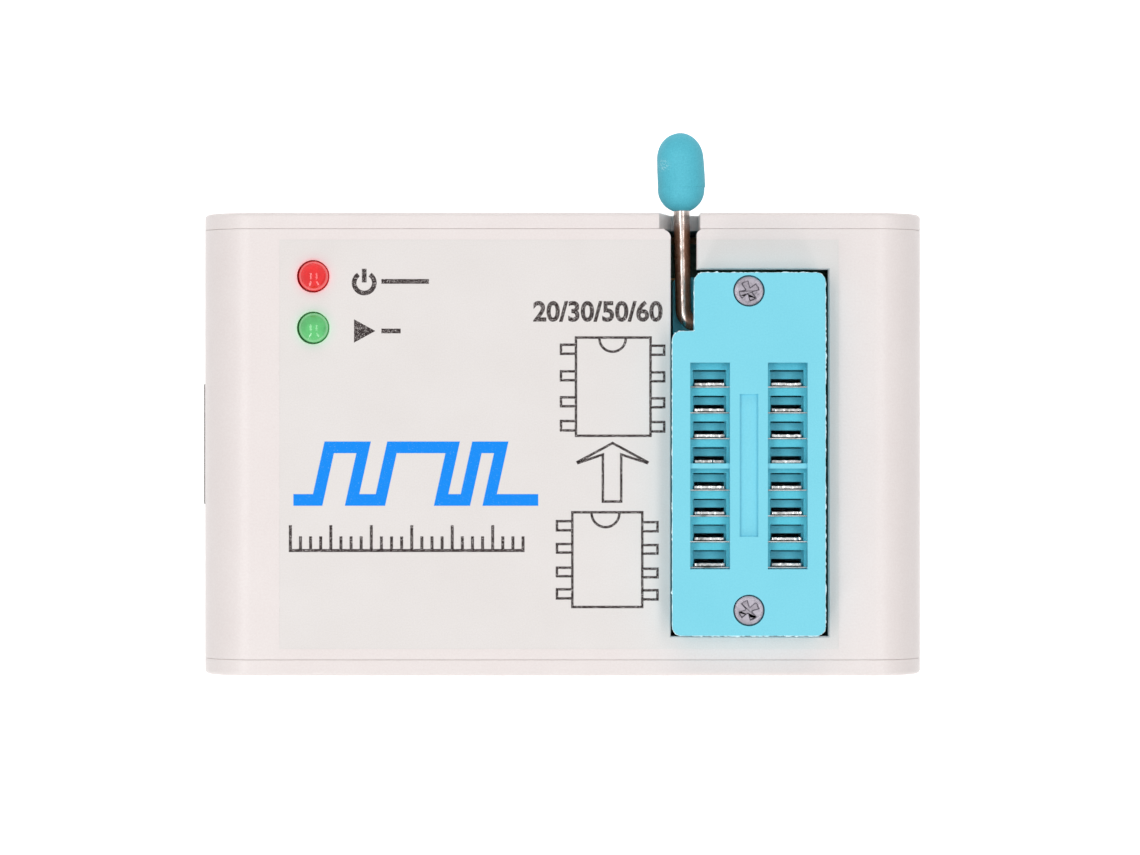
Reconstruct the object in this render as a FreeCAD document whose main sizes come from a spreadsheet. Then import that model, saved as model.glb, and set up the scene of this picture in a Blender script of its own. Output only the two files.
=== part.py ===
import FreeCAD, Part
import math
import os
from types import SimpleNamespace

import Sketcher
from FreeCAD import Vector

# USB microcontroller programmer: a small two-part plastic case with a circuit board, a zero
# insertion force socket with a lever, two lamps and a USB type B receptacle.
# Millimetres, +X to the right, +Y to the back, +Z up. The origin is the middle of the underside.

DIMENSIONS = {
    # Case
    "case_length": 71.5,
    "case_width": 45.8,
    "case_height": 23.0,
    "shoulder_radius": 5.0,
    "foot_radius": 1.2,
    "rim_round": 0.4,
    "plate_thickness": 2.0,
    "side_thickness": 1.6,
    "end_thickness": 1.6,
    "floor_thickness": 2.0,
    "seam_gap": 0.12,
    "lip_thickness": 1.2,
    "lip_height": 2.0,
    # Printed film on the lid
    "label_left_inset": 7.85,
    "label_side_inset": 2.75,
    "label_window_rim": 0.9,
    "label_thickness": 0.2,
    "label_gap": 0.08,
    # Circuit board
    "board_thickness": 1.6,
    "board_end_gap": 0.1,
    "board_side_gap": 0.5,
    "standoff_height": 3.5,
    "standoff_diameter": 5.0,
    "board_screw_inset": 3.5,
    "board_screw_setback": 3.0,
    "board_screw_diameter": 2.2,
    "board_screw_head": 4.2,
    "board_screw_head_height": 1.4,
    "board_screw_length": 4.4,
    "lead_tail": 1.2,
    # Screws that close the case
    "case_screw_inset": 3.5,
    "case_screw_spacing": 23.0,
    "case_screw_diameter": 2.6,
    "case_screw_head": 4.6,
    "case_screw_head_height": 1.7,
    "case_screw_length": 9.0,
    "case_screw_sink": 2.0,
    "pillar_diameter": 6.4,
    "pillar_height": 2.6,
    "boss_diameter": 5.2,
    "recess_width": 0.9,
    "recess_length": 2.6,
    # Fits
    "screw_fit": 0.02,
    "screw_clearance": 0.25,
    "running_fit": 0.06,
    "slide_fit": 0.2,
    "part_gap": 0.1,
    # Socket
    "socket_inset": 17.45,
    "socket_middle": -0.96,
    "cover_length": 35.6,
    "cover_width": 15.0,
    "cover_height": 4.5,
    "cover_corner": 0.9,
    "cover_wall": 1.0,
    "cover_rise": 3.0,
    "cover_roof": 1.55,
    "base_inset": 0.2,
    "socket_height": 12.2,
    "window_gap_left": 0.1,
    "window_gap_right": 0.5,
    "window_gap_front": 0.24,
    "window_gap_back": 0.46,
    "row_spacing": 7.62,
    "contact_pitch": 2.54,
    "contact_count": 8,
    "contact_shift": -2.28,
    "slot_width": 3.9,
    "slot_back_reach": 2.38,
    "slot_front_reach": 0.13,
    "slot_bar_shift": 1.12,
    "slot_bar_overlap": 0.1,
    "slot_bar_width": 0.5,
    "slot_bar_sink": 0.15,
    "plaque_width": 1.83,
    "plaque_back_reach": 8.18,
    "plaque_front_reach": 5.82,
    "plaque_depth": 0.15,
    "cover_screw_back_inset": 1.77,
    "cover_screw_front_inset": 2.47,
    "cover_screw_head": 2.9,
    "cover_screw_head_height": 0.9,
    "cover_screw_diameter": 1.7,
    "cover_screw_length": 8.0,
    "cover_screw_sink": 0.12,
    "cover_screw_slot": 0.5,
    "cover_screw_cross": 1.9,
    "cover_screw_cross_depth": 0.55,
    # Slider of the socket
    "slider_thickness": 1.4,
    "slider_roof_gap": 0.25,
    "slider_travel": 0.8,
    "rail_width": 0.6,
    "slider_window_width": 3.3,
    "slider_bar": 0.8,
    "slider_end": 1.4,
    "yoke_length": 3.4,
    "yoke_wall": 0.5,
    "tower_width": 3.5,
    "tower_end": 0.4,
    # Contacts
    "pocket_width": 3.0,
    "pocket_length": 1.8,
    "pocket_back": 0.8,
    "pocket_floor": 1.0,
    "post_width": 2.9,
    "post_thickness": 0.23,
    "post_place": 0.275,
    "post_sink": 0.3,
    "pin_width": 0.5,
    "pin_thickness": 0.25,
    "pin_length": 3.0,
    "spring_width": 2.6,
    "spring_thickness": 0.12,
    "spring_depth": 7.5,
    "spring_bar_height": 0.14,
    # Lever
    "rod_diameter": 1.6,
    "lever_shaft_setback": 4.84,
    "lever_shaft_drop": 5.9,
    "lever_arm_inset": 1.25,
    "lever_bend_radius": 1.4,
    "lever_tilt": 1.2,
    "shaft_end_wall": 1.2,
    "eccentric_length": 4.0,
    "rod_clearance": 0.1,
    "knob_diameter": 4.87,
    "knob_length": 7.8,
    "knob_wall_gap": 0.3,
    "knob_cover": 1.7,
    "knob_bore_room": 0.05,
    # Lever channel in the case
    "channel_gap": 0.43,
    "channel_round_left": 0.75,
    "channel_round_right": 0.45,
    "wall_notch_low_gap": 0.39,
    "wall_notch_flare": 1.29,
    "wall_notch_right_gap": 0.75,
    "wall_notch_floor_gap": 2.05,
    # Lamps
    "lamp_diameter": 3.0,
    "lamp_flange_step": 0.4,
    "lamp_flange_height": 1.0,
    "lamp_height": 5.3,
    "lamp_rise": 1.1,
    "dome_flat": 0.01,
    "lamp_fit": 0.1,
    "lamp_inset": 11.1,
    "lamp_setback": 6.3,
    "lamp_spacing": 5.1,
    "lead_width": 0.5,
    "lead_spacing": 1.27,
    # Sockets under the lever socket
    "strip_width": 2.5,
    "strip_sleeve": 1.3,
    "strip_bore": 0.8,
    "strip_sleeve_gap": 0.05,
    "strip_sleeve_foot": 0.3,
    "pin_hole": 0.9,
    # USB receptacle
    "usb_width": 12.04,
    "usb_height": 10.9,
    "usb_length": 16.4,
    "usb_wall": 0.35,
    "usb_proud": 0.13,
    "usb_hole_gap": 0.2,
    "usb_block_setback": 0.5,
    "usb_block_length": 14.0,
    "usb_cavity_width": 8.65,
    "usb_cavity_height": 7.95,
    "usb_cavity_bevel": 1.7,
    "usb_cavity_depth": 11.2,
    "usb_tongue_width": 5.6,
    "usb_tongue_height": 3.2,
    "usb_tongue_length": 6.6,
    "usb_contact_width": 1.0,
    "usb_contact_thickness": 0.3,
    "usb_contact_spacing": 2.5,
    "usb_contact_gap": 0.4,
    "usb_pin_step": 0.7,
    "usb_tab_width": 1.8,
    "usb_tab_place": 4.9,
    "usb_tab_length": 3.0,
    # Chips and small parts on the board
    "chip_size": 10.0,
    "chip_height": 1.6,
    "chip_stand": 0.1,
    "chip_across": -4.5,
    "chip_back": 4.0,
    "chip_lead_pitch": 0.8,
    "chip_lead_count": 11,
    "chip_lead_width": 0.35,
    "chip_lead_reach": 1.2,
    "chip_lead_thickness": 0.2,
    "buffer_length": 9.9,
    "buffer_width": 3.9,
    "buffer_height": 1.5,
    "buffer_across": -3.0,
    "buffer_back": -6.5,
    "buffer_step": 7.0,
    "buffer_lead_count": 8,
    "buffer_lead_pitch": 1.27,
    "crystal_length": 11.0,
    "crystal_width": 4.4,
    "crystal_height": 3.5,
    "crystal_across": -8.5,
    "crystal_back": 15.5,
    "regulator_length": 6.5,
    "regulator_width": 3.5,
    "regulator_height": 1.6,
    "regulator_across": -14.5,
    "regulator_back": -17.4,
    "regulator_lead_count": 3,
    "regulator_lead_pitch": 2.3,
    "regulator_lead_width": 0.7,
    "regulator_tab_width": 3.2,
    "capacitor_diameter": 5.0,
    "capacitor_height": 7.0,
    "capacitor_gap": 1.0,
    "capacitor_back": -10.5,
    "capacitor_spacing": 6.0,
    "capacitor_groove": 0.3,
    "capacitor_foot": 1.4,
    "resistor_length": 2.0,
    "resistor_width": 1.25,
    "resistor_height": 0.55,
    "resistor_across": 4.5,
    "resistor_back": 16.0,
    "resistor_spacing": 2.6,
    "resistor_count": 6,
    "chip_capacitor_height": 0.9,
    "chip_capacitor_gap": 5.1,
    "chip_capacitor_back": 8.0,
    "chip_capacitor_spacing": 2.8,
    "chip_capacitor_count": 5,
}

# How far a cut runs past the face that it opens
OVERRUN = 1

doc = FreeCAD.newDocument("programmer")
sheet = doc.addObject("Spreadsheet::Sheet", "dims")
for row, (word, number) in enumerate(DIMENSIONS.items(), start=1):
    sheet.set(f"A{row}", word)
    sheet.set(f"B{row}", str(number))
    sheet.setAlias(f"B{row}", word)
doc.recompute()


class Size:
    """A size known both as a number and as the sheet expression that gives it."""

    def __init__(self, value, text):
        self.value = float(value)
        self.text = str(text)

    def __add__(self, other):
        other = as_size(other)
        return Size(self.value + other.value, f"({self.text} + {other.text})")

    def __sub__(self, other):
        other = as_size(other)
        return Size(self.value - other.value, f"({self.text} - {other.text})")

    def __mul__(self, other):
        other = as_size(other)
        return Size(self.value * other.value, f"({self.text} * {other.text})")

    def __truediv__(self, other):
        other = as_size(other)
        return Size(self.value / other.value, f"({self.text} / {other.text})")

    def __neg__(self):
        return Size(-self.value, f"(-1 * {self.text})")

    def __radd__(self, other):
        return as_size(other) + self

    def __rsub__(self, other):
        return as_size(other) - self

    def __rmul__(self, other):
        return as_size(other) * self


def as_size(number):
    return number if isinstance(number, Size) else Size(number, repr(number))


def root_of(size):
    return Size(math.sqrt(size.value), f"sqrt({size.text})")


d = SimpleNamespace(**{word: Size(number, f"dims.{word}") for word, number in DIMENSIONS.items()})

# Levels and places that several pieces share
half_length = d.case_length / 2
half_width = d.case_width / 2
inner_length = half_length - d.side_thickness
inner_width = half_width - d.end_thickness
lid_width = inner_width - d.seam_gap
lid_low = d.floor_thickness + d.seam_gap
plate_low = d.case_height - d.plate_thickness
board_low = d.floor_thickness + d.standoff_height
board_top = board_low + d.board_thickness
board_half_length = inner_length - d.board_side_gap
board_half_width = inner_width - d.board_end_gap
board_screw_across = half_length - d.side_thickness - d.board_screw_inset
board_screw_back = inner_width - d.board_screw_setback
case_screw_across = half_length - d.side_thickness - d.case_screw_inset
case_screw_back = d.case_screw_spacing / 2
pillar_top = d.floor_thickness + d.pillar_height

socket_centre = half_length - d.socket_inset
cover_top = d.case_height + d.cover_rise
cover_low = cover_top - d.cover_height
base_low = cover_top - d.socket_height
roof_low = cover_top - d.cover_roof
cover_left = socket_centre - d.cover_width / 2
cover_right = socket_centre + d.cover_width / 2
cover_front = d.socket_middle - d.cover_length / 2
cover_back = d.socket_middle + d.cover_length / 2
cover_screw_back = cover_back - d.cover_screw_back_inset
cover_screw_front = cover_front + d.cover_screw_front_inset
contact_middle = d.socket_middle + d.contact_shift
left_row = socket_centre - d.row_spacing / 2
row_span = (d.contact_count - 1) * d.contact_pitch
first_contact = contact_middle + row_span / 2
last_contact = contact_middle - row_span / 2
slider_top = roof_low - d.slider_roof_gap
slider_low = slider_top - d.slider_thickness
shaft_back = cover_back - d.lever_shaft_setback
shaft_level = cover_top - d.lever_shaft_drop
rod_radius = d.rod_diameter / 2
arm_across = cover_left + d.lever_arm_inset
arm_room = rod_radius + d.rod_clearance
groove_half = rod_radius + d.running_fit
eccentric_offset = d.slider_travel / root_of(as_size(2))
yoke_back = shaft_back + d.slider_travel / 2
knob_start = half_width - shaft_back + d.knob_wall_gap
lever_reach = knob_start + d.knob_length - d.knob_cover

window_left = cover_left - d.window_gap_left
window_right = cover_right + d.window_gap_right
window_front = cover_front - d.window_gap_front
window_back = cover_back + d.window_gap_back
channel_right = arm_across + rod_radius + d.channel_gap
label_left = d.label_left_inset - half_length
label_right = window_right + d.label_window_rim
label_half_width = half_width - d.label_side_inset
label_floor = d.case_height - d.label_thickness

usb_left = -half_length - d.usb_proud
usb_low = board_top
usb_middle = usb_low + d.usb_height / 2
usb_right = usb_left + d.usb_length
lamp_across = d.lamp_inset - half_length
red_lamp_back = half_width - d.lamp_setback
green_lamp_back = red_lamp_back - d.lamp_spacing
lamp_hole = d.lamp_diameter + 2 * d.lamp_fit
lamp_top = d.case_height + d.lamp_rise
lamp_low = lamp_top - d.lamp_height


def origin_part(body, role):
    return next(part for part in body.Origin.OriginFeatures if part.Role == role)


def new_body(label):
    body = doc.addObject("PartDesign::Body", label)
    body.Label = label
    body.AllowCompound = True
    return body


def bind(thing, path, size):
    """Sets a property to a size and ties it to the sheet."""
    thing.setExpression(path, as_size(size).text)


class Outline:
    """A sketch on one of a body's origin planes, whose measures are tied to the sheet."""

    def __init__(self, body, name, plane, level):
        self.sketch = body.newObject("Sketcher::SketchObject", name)
        self.sketch.AttachmentSupport = (origin_part(body, plane), [""])
        self.sketch.MapMode = "FlatFace"
        bind(self.sketch, "AttachmentOffset.Base.z", level)

    def fix(self, kind, geometry, point, size):
        size = as_size(size)
        constraint = Sketcher.Constraint(kind, -1, 1, geometry, point, size.value)
        index = self.sketch.addConstraint(constraint)
        bind(self.sketch, f"Constraints[{index}]", size)

    def fix_radius(self, geometry, size):
        index = self.sketch.addConstraint(Sketcher.Constraint("Radius", geometry, size.value))
        bind(self.sketch, f"Constraints[{index}]", size)

    def polygon(self, points):
        points = [(as_size(across), as_size(along)) for across, along in points]
        corners = [Vector(across.value, along.value, 0) for across, along in points]
        first = self.sketch.GeometryCount
        for index, corner in enumerate(corners):
            following = corners[(index + 1) % len(corners)]
            self.sketch.addGeometry(Part.LineSegment(corner, following), False)
        for index in range(len(corners)):
            following = first + (index + 1) % len(corners)
            self.sketch.addConstraint(
                Sketcher.Constraint("Coincident", first + index, 2, following, 1)
            )
        for index, (across, along) in enumerate(points):
            self.fix("DistanceX", first + index, 1, across)
            self.fix("DistanceY", first + index, 1, along)
        return self

    def rectangle(self, left, right, low, high):
        return self.polygon([(left, low), (right, low), (right, high), (left, high)])

    def circle(self, across, along, diameter):
        across = as_size(across)
        along = as_size(along)
        radius = as_size(diameter) / 2
        centre = Vector(across.value, along.value, 0)
        circle = Part.Circle(centre, Vector(0, 0, 1), radius.value)
        index = self.sketch.addGeometry(circle, False)
        self.fix("DistanceX", index, 3, across)
        self.fix("DistanceY", index, 3, along)
        self.fix_radius(index, radius)
        return self


def face_up(plane):
    """True where the sketch's normal points along the positive axis; XZ faces -Y."""
    return plane != "XZ_Plane"


def add(body, name, plane, low, high, draw):
    """Pads what draw(outline) draws on the plane, from low to high along its world axis."""
    level = low if face_up(plane) else -as_size(high)
    outline = Outline(body, f"{name}_outline", plane, level)
    draw(outline)
    feature = body.newObject("PartDesign::Pad", name)
    feature.Profile = outline.sketch
    bind(feature, "Length", high - low)
    return feature


def cut(body, name, plane, low, high, draw):
    """Pockets what draw(outline) draws on the plane, from low to high along its world axis."""
    level = high if face_up(plane) else -as_size(low)
    outline = Outline(body, f"{name}_outline", plane, level)
    draw(outline)
    feature = body.newObject("PartDesign::Pocket", name)
    feature.Profile = outline.sketch
    bind(feature, "Length", high - low)
    return feature


def repeat(body, name, features, axis, spacing, count, reverse=False):
    feature = body.newObject("PartDesign::LinearPattern", name)
    if features:
        feature.Originals = features
    else:
        feature.TransformMode = "Whole shape"
    feature.Direction = (origin_part(body, axis), [""])
    feature.Reversed = reverse
    feature.Mode = "Spacing"
    bind(feature, "Offset", spacing)
    bind(feature, "Occurrences", count)
    body.Tip = feature
    return feature


def near(first, second):
    return abs(first - as_size(second).value) < 1e-4


def round_edges(body, name, radius, wanted):
    """Fillets the edges of the body's last feature that wanted(edge) picks."""
    doc.recompute()
    base = body.Tip
    names = []
    for index, edge in enumerate(base.Shape.Edges, start=1):
        if wanted(edge):
            names.append(f"Edge{index}")
    if not names:
        raise RuntimeError(f"{body.Label}: no edges for {name}")
    feature = body.newObject("PartDesign::Fillet", name)
    feature.Base = (base, names)
    bind(feature, "Radius", radius)
    return feature


def runs_along(edge, axis):
    """True for a straight edge that is parallel to the axis given as 0, 1 or 2."""
    if not isinstance(edge.Curve, Part.Line):
        return False
    direction = edge.tangentAt(edge.FirstParameter)
    return abs(abs(direction[axis]) - 1) < 1e-6


def middle_of(edge):
    return edge.valueAt((edge.FirstParameter + edge.LastParameter) / 2)


def at_corners(edge, axis, across, along):
    """True for an edge along the axis that passes one of the four places (+-across, +-along)."""
    if not runs_along(edge, axis):
        return False
    middle = middle_of(edge)
    places = [value for index, value in enumerate(middle) if index != axis]
    return near(abs(places[0]), across) and near(abs(places[1]), along)


def four_places(across, along):
    return [(sign_x * across, sign_y * along) for sign_x in (-1, 1) for sign_y in (-1, 1)]


def four_circles(across, along, diameter):
    def draw(outline):
        for place in four_places(across, along):
            outline.circle(*place, diameter)

    return draw


def case_block(body, low, half_depth):
    """Block with the case's section across X and Z, and its two rounded shoulders."""
    add(body, "block", "XZ_Plane", -half_depth, half_depth,
        lambda outline: outline.rectangle(-half_length, half_length, low, d.case_height))
    round_edges(body, "shoulders", d.shoulder_radius,
                lambda edge: runs_along(edge, 1) and near(middle_of(edge).z, d.case_height))


def make_bottom_shell():
    body = new_body("bottom_shell")
    case_block(body, as_size(0), half_width)
    round_edges(body, "foot_edges", d.foot_radius,
                lambda edge: runs_along(edge, 1) and near(middle_of(edge).z, 0))
    cut(body, "inside", "YZ_Plane", -half_length - OVERRUN, half_length + OVERRUN,
        lambda outline: outline.rectangle(
            -inner_width, inner_width, d.floor_thickness, d.case_height + OVERRUN))
    lip_right = inner_length - d.seam_gap
    lip_left = lip_right - d.lip_thickness
    lip_end = inner_width - d.lip_thickness

    def draw_lips(outline):
        outline.rectangle(lip_left, lip_right, -lip_end, lip_end)
        outline.rectangle(-lip_right, -lip_left, -lip_end, lip_end)

    lip_top = d.floor_thickness + d.lip_height
    add(body, "lips", "XY_Plane", d.floor_thickness, lip_top, draw_lips)
    add(body, "standoffs", "XY_Plane", d.floor_thickness, board_low,
        four_circles(board_screw_across, board_screw_back, d.standoff_diameter))
    add(body, "pillars", "XY_Plane", d.floor_thickness, pillar_top,
        four_circles(case_screw_across, case_screw_back, d.pillar_diameter))
    cut(body, "standoff_holes", "XY_Plane", d.floor_thickness, board_low,
        four_circles(board_screw_across, board_screw_back,
                     d.board_screw_diameter + 2 * d.screw_fit))
    cut(body, "screw_sinks", "XY_Plane", -1 * d.part_gap, d.case_screw_sink,
        four_circles(case_screw_across, case_screw_back,
                     d.case_screw_head + 2 * d.screw_clearance))
    cut(body, "screw_holes", "XY_Plane", as_size(0), pillar_top,
        four_circles(case_screw_across, case_screw_back,
                     d.case_screw_diameter + 2 * d.screw_clearance))
    notch_low = shaft_level - rod_radius - d.wall_notch_floor_gap
    notch_left = arm_across - rod_radius - d.wall_notch_low_gap
    notch_right = arm_across + rod_radius + d.wall_notch_right_gap
    slope = d.wall_notch_flare / (d.case_height - notch_low)
    cut(body, "lever_notch", "XZ_Plane", inner_width - OVERRUN, half_width + OVERRUN,
        lambda outline: outline.polygon([
            (notch_left, notch_low),
            (notch_right, notch_low),
            (notch_right, d.case_height + OVERRUN),
            (notch_left - d.wall_notch_flare - slope * OVERRUN, d.case_height + OVERRUN),
        ]))
    shoulder_low = d.case_height - d.shoulder_radius

    def on_rim(edge):
        middle = middle_of(edge)
        level = near(middle.z, d.case_height) and runs_along(edge, 0)
        shoulder = middle.z > shoulder_low.value and isinstance(edge.Curve, Part.Circle)
        return near(abs(middle.y), half_width) and (level or shoulder)

    round_edges(body, "rim", d.rim_round, on_rim)
    return body


def window_outline(outline, margin):
    """Window for the socket, with the lever channel that opens it to the back edge."""
    outline.polygon([
        (window_left - margin, window_front - margin),
        (window_right + margin, window_front - margin),
        (window_right + margin, window_back + margin),
        (channel_right + margin, window_back + margin),
        (channel_right + margin, half_width),
        (window_left - margin, half_width),
    ])


def make_top_shell():
    body = new_body("top_shell")
    case_block(body, lid_low, lid_width)
    cut(body, "inside", "XZ_Plane", -half_width, half_width,
        lambda outline: outline.rectangle(
            -inner_length, inner_length, as_size(0), plate_low))
    inner_radius = d.shoulder_radius - d.plate_thickness
    round_edges(body, "inner_shoulders", inner_radius,
                lambda edge: at_corners(edge, 1, inner_length, plate_low))
    add(body, "bosses", "XY_Plane", pillar_top, plate_low,
        four_circles(case_screw_across, case_screw_back, d.boss_diameter))
    screw_tip = d.case_screw_sink + d.case_screw_length
    cut(body, "boss_holes", "XY_Plane", pillar_top, screw_tip + OVERRUN,
        four_circles(case_screw_across, case_screw_back,
                     d.case_screw_diameter + 2 * d.screw_fit))
    cut(body, "window", "XY_Plane", plate_low, d.case_height,
        lambda outline: window_outline(outline, as_size(0)))
    cut(body, "lamp_holes", "XY_Plane", plate_low, d.case_height,
        lambda outline: outline.circle(lamp_across, red_lamp_back, lamp_hole)
        .circle(lamp_across, green_lamp_back, lamp_hole))
    seat_half_width = label_half_width + d.label_gap
    cut(body, "label_seat", "XY_Plane", label_floor, d.case_height,
        lambda outline: outline.rectangle(
            label_left - d.label_gap, label_right + d.label_gap,
            -seat_half_width, seat_half_width))
    usb_half = d.usb_width / 2 + d.usb_hole_gap
    cut(body, "usb_hole", "YZ_Plane", -half_length - OVERRUN,
        d.shoulder_radius + OVERRUN - half_length,
        lambda outline: outline.rectangle(
            -usb_half, usb_half, usb_low - d.usb_hole_gap,
            usb_low + d.usb_height + d.usb_hole_gap))
    for name, place, radius in (
        ("left_corner", window_left, d.channel_round_left),
        ("right_corner", channel_right, d.channel_round_right),
    ):
        round_edges(body, name, radius,
                    lambda edge: runs_along(edge, 2) and near(middle_of(edge).x, place)
                    and near(middle_of(edge).y, lid_width))
    return body


def make_label():
    body = new_body("label_overlay")
    add(body, "film", "XY_Plane", label_floor, d.case_height,
        lambda outline: outline.rectangle(
            label_left, label_right, -label_half_width, label_half_width))
    cut(body, "window", "XY_Plane", label_floor, d.case_height,
        lambda outline: window_outline(outline, d.label_gap))
    cut(body, "lamp_holes", "XY_Plane", label_floor, d.case_height,
        lambda outline: outline.circle(lamp_across, red_lamp_back, lamp_hole)
        .circle(lamp_across, green_lamp_back, lamp_hole))
    return body


def make_screws(label, across, along, head_low, head_height, head, diameter, length, upward):
    """Four screws; upward ones have the head at the bottom and a cross in the head's face."""
    body = new_body(label)
    head_high = head_low + head_height
    add(body, "heads", "XY_Plane", head_low, head_high, four_circles(across, along, head))
    if upward:
        add(body, "shanks", "XY_Plane", head_high, head_low + length,
            four_circles(across, along, diameter))
        face_low = head_low
        face_high = head_low + head_height / 2
    else:
        add(body, "shanks", "XY_Plane", head_high - length, head_low,
            four_circles(across, along, diameter))
        face_low = head_high - head_height / 2
        face_high = head_high

    def draw_crosses(outline):
        for centre_x, centre_y in four_places(across, along):
            cross_outline(outline, centre_x, centre_y, d.recess_length, d.recess_width)

    cut(body, "recesses", "XY_Plane", face_low, face_high, draw_crosses)
    return body


def cross_outline(outline, across, along, length, width):
    """Plus-shaped outline of a driver recess."""
    arm = length / 2
    half = width / 2
    outline.polygon([
        (across - arm, along - half), (across - half, along - half),
        (across - half, along - arm), (across + half, along - arm),
        (across + half, along - half), (across + arm, along - half),
        (across + arm, along + half), (across + half, along + half),
        (across + half, along + arm), (across - half, along + arm),
        (across - half, along + half), (across - arm, along + half),
    ])


def make_board():
    body = new_body("main_board")
    add(body, "laminate", "XY_Plane", board_low, board_top,
        lambda outline: outline.rectangle(
            -board_half_length, board_half_length, -board_half_width, board_half_width))
    cut(body, "screw_holes", "XY_Plane", board_low, board_top,
        four_circles(board_screw_across, board_screw_back,
                     d.board_screw_diameter + 2 * d.screw_clearance))
    cut(body, "boss_holes", "XY_Plane", board_low, board_top,
        four_circles(case_screw_across, case_screw_back,
                     d.boss_diameter + 2 * d.screw_clearance))
    pin = cut(body, "socket_hole", "XY_Plane", board_low, board_top,
              lambda outline: outline.circle(left_row, pin_back(), d.pin_hole)
              .circle(left_row + d.row_spacing, pin_back(), d.pin_hole))
    repeat(body, "socket_holes", [pin], "Y_Axis", d.contact_pitch, d.contact_count, True)
    lamp_lead = d.lead_width * 2

    def draw_lamp_holes(outline):
        for back in (red_lamp_back, green_lamp_back):
            for side in (-1, 1):
                outline.circle(lamp_across + side * d.lead_spacing, back, lamp_lead)

    cut(body, "lamp_lead_holes", "XY_Plane", board_low, board_top, draw_lamp_holes)
    cut(body, "usb_slots", "XY_Plane", board_low, board_top, draw_usb_slots)
    return body


def draw_usb_slots(outline):
    """Slots in the board for the receptacle's two tabs and its four pins."""
    tab = usb_left + d.usb_tab_place
    half_tab = d.usb_tab_width / 2 + d.part_gap
    edge = d.usb_width / 2
    outline.rectangle(tab - half_tab, tab + half_tab,
                      edge - d.usb_wall - d.part_gap, edge + d.part_gap)
    outline.rectangle(tab - half_tab, tab + half_tab,
                      -edge - d.part_gap, d.usb_wall + d.part_gap - edge)
    half_pin = d.usb_contact_width / 2 + d.part_gap
    for side in (-1, 1):
        middle = side * d.usb_contact_spacing / 2
        for left in (usb_upper_pin(), usb_lower_pin()):
            outline.rectangle(left - d.part_gap,
                              left + d.usb_contact_thickness + d.part_gap,
                              middle - half_pin, middle + half_pin)


def pin_back():
    """Place along Y of the first contact's pin, under its fixed jaw."""
    return first_contact + d.post_place


# USB receptacle

def usb_block_left():
    return usb_left + d.usb_block_setback


def usb_block_right():
    return usb_block_left() + d.usb_block_length


def usb_lower_pin():
    """Left face of the pins that come from the tongue's lower side."""
    return usb_block_right() + d.usb_contact_gap / 2


def usb_upper_pin():
    return usb_lower_pin() + d.usb_pin_step


def make_usb_shell():
    body = new_body("usb_shell")
    half = d.usb_width / 2
    usb_top = usb_low + d.usb_height
    add(body, "box", "YZ_Plane", usb_left, usb_right,
        lambda outline: outline.rectangle(-half, half, usb_low, usb_top))
    round_edges(body, "box_edges", d.usb_wall,
                lambda edge: at_corners(edge, 0, half, usb_low) or
                at_corners(edge, 0, half, usb_top))
    cut(body, "mouth", "YZ_Plane", usb_left, usb_right - d.usb_wall,
        lambda outline: outline.rectangle(
            -half + d.usb_wall, half - d.usb_wall, usb_low + d.usb_wall, usb_top - d.usb_wall))
    cut(body, "pin_gate", "XY_Plane", usb_low, usb_low + d.usb_wall,
        lambda outline: outline.rectangle(
            usb_block_right(), usb_right - d.usb_wall, -half + d.usb_wall, half - d.usb_wall))
    tab = usb_left + d.usb_tab_place
    tab_low = board_top - d.usb_tab_length
    tab_high = board_top + d.usb_wall

    def draw_tabs(outline):
        left = tab - d.usb_tab_width / 2
        right = tab + d.usb_tab_width / 2
        outline.rectangle(left, right, half - d.usb_wall, half)
        outline.rectangle(left, right, -half, d.usb_wall - half)

    add(body, "tabs", "XY_Plane", tab_low, tab_high + d.usb_wall, draw_tabs)
    return body


def make_usb_insulator():
    body = new_body("usb_insulator")
    half = d.usb_width / 2 - d.usb_wall
    low = usb_low + d.usb_wall
    high = usb_low + d.usb_height - d.usb_wall
    add(body, "block", "YZ_Plane", usb_block_left(), usb_block_right(),
        lambda outline: outline.rectangle(-half, half, low, high))
    cavity_half = d.usb_cavity_width / 2
    cavity_low = usb_middle - d.usb_cavity_height / 2
    cavity_high = usb_middle + d.usb_cavity_height / 2
    bevel = d.usb_cavity_bevel
    cavity_end = usb_block_left() + d.usb_cavity_depth
    cut(body, "cavity", "YZ_Plane", usb_block_left(), cavity_end,
        lambda outline: outline.polygon([
            (-cavity_half, cavity_low),
            (cavity_half, cavity_low),
            (cavity_half, cavity_high - bevel),
            (cavity_half - bevel, cavity_high),
            (bevel - cavity_half, cavity_high),
            (-cavity_half, cavity_high - bevel),
        ]))
    tongue_half = d.usb_tongue_width / 2
    add(body, "tongue", "YZ_Plane", cavity_end - d.usb_tongue_length, cavity_end,
        lambda outline: outline.rectangle(
            -tongue_half, tongue_half,
            usb_middle - d.usb_tongue_height / 2, usb_middle + d.usb_tongue_height / 2))

    def draw_ways(outline):
        for side in (-1, 1):
            middle = side * d.usb_contact_spacing / 2
            left = middle - d.usb_contact_width / 2
            right = middle + d.usb_contact_width / 2
            upper = usb_middle + d.usb_tongue_height / 2
            lower = usb_middle - d.usb_tongue_height / 2
            outline.rectangle(left, right, upper, upper + d.usb_contact_thickness)
            outline.rectangle(left, right, lower - d.usb_contact_thickness, lower)

    cut(body, "contact_ways", "YZ_Plane", cavity_end, usb_block_right(), draw_ways)
    return body


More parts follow.
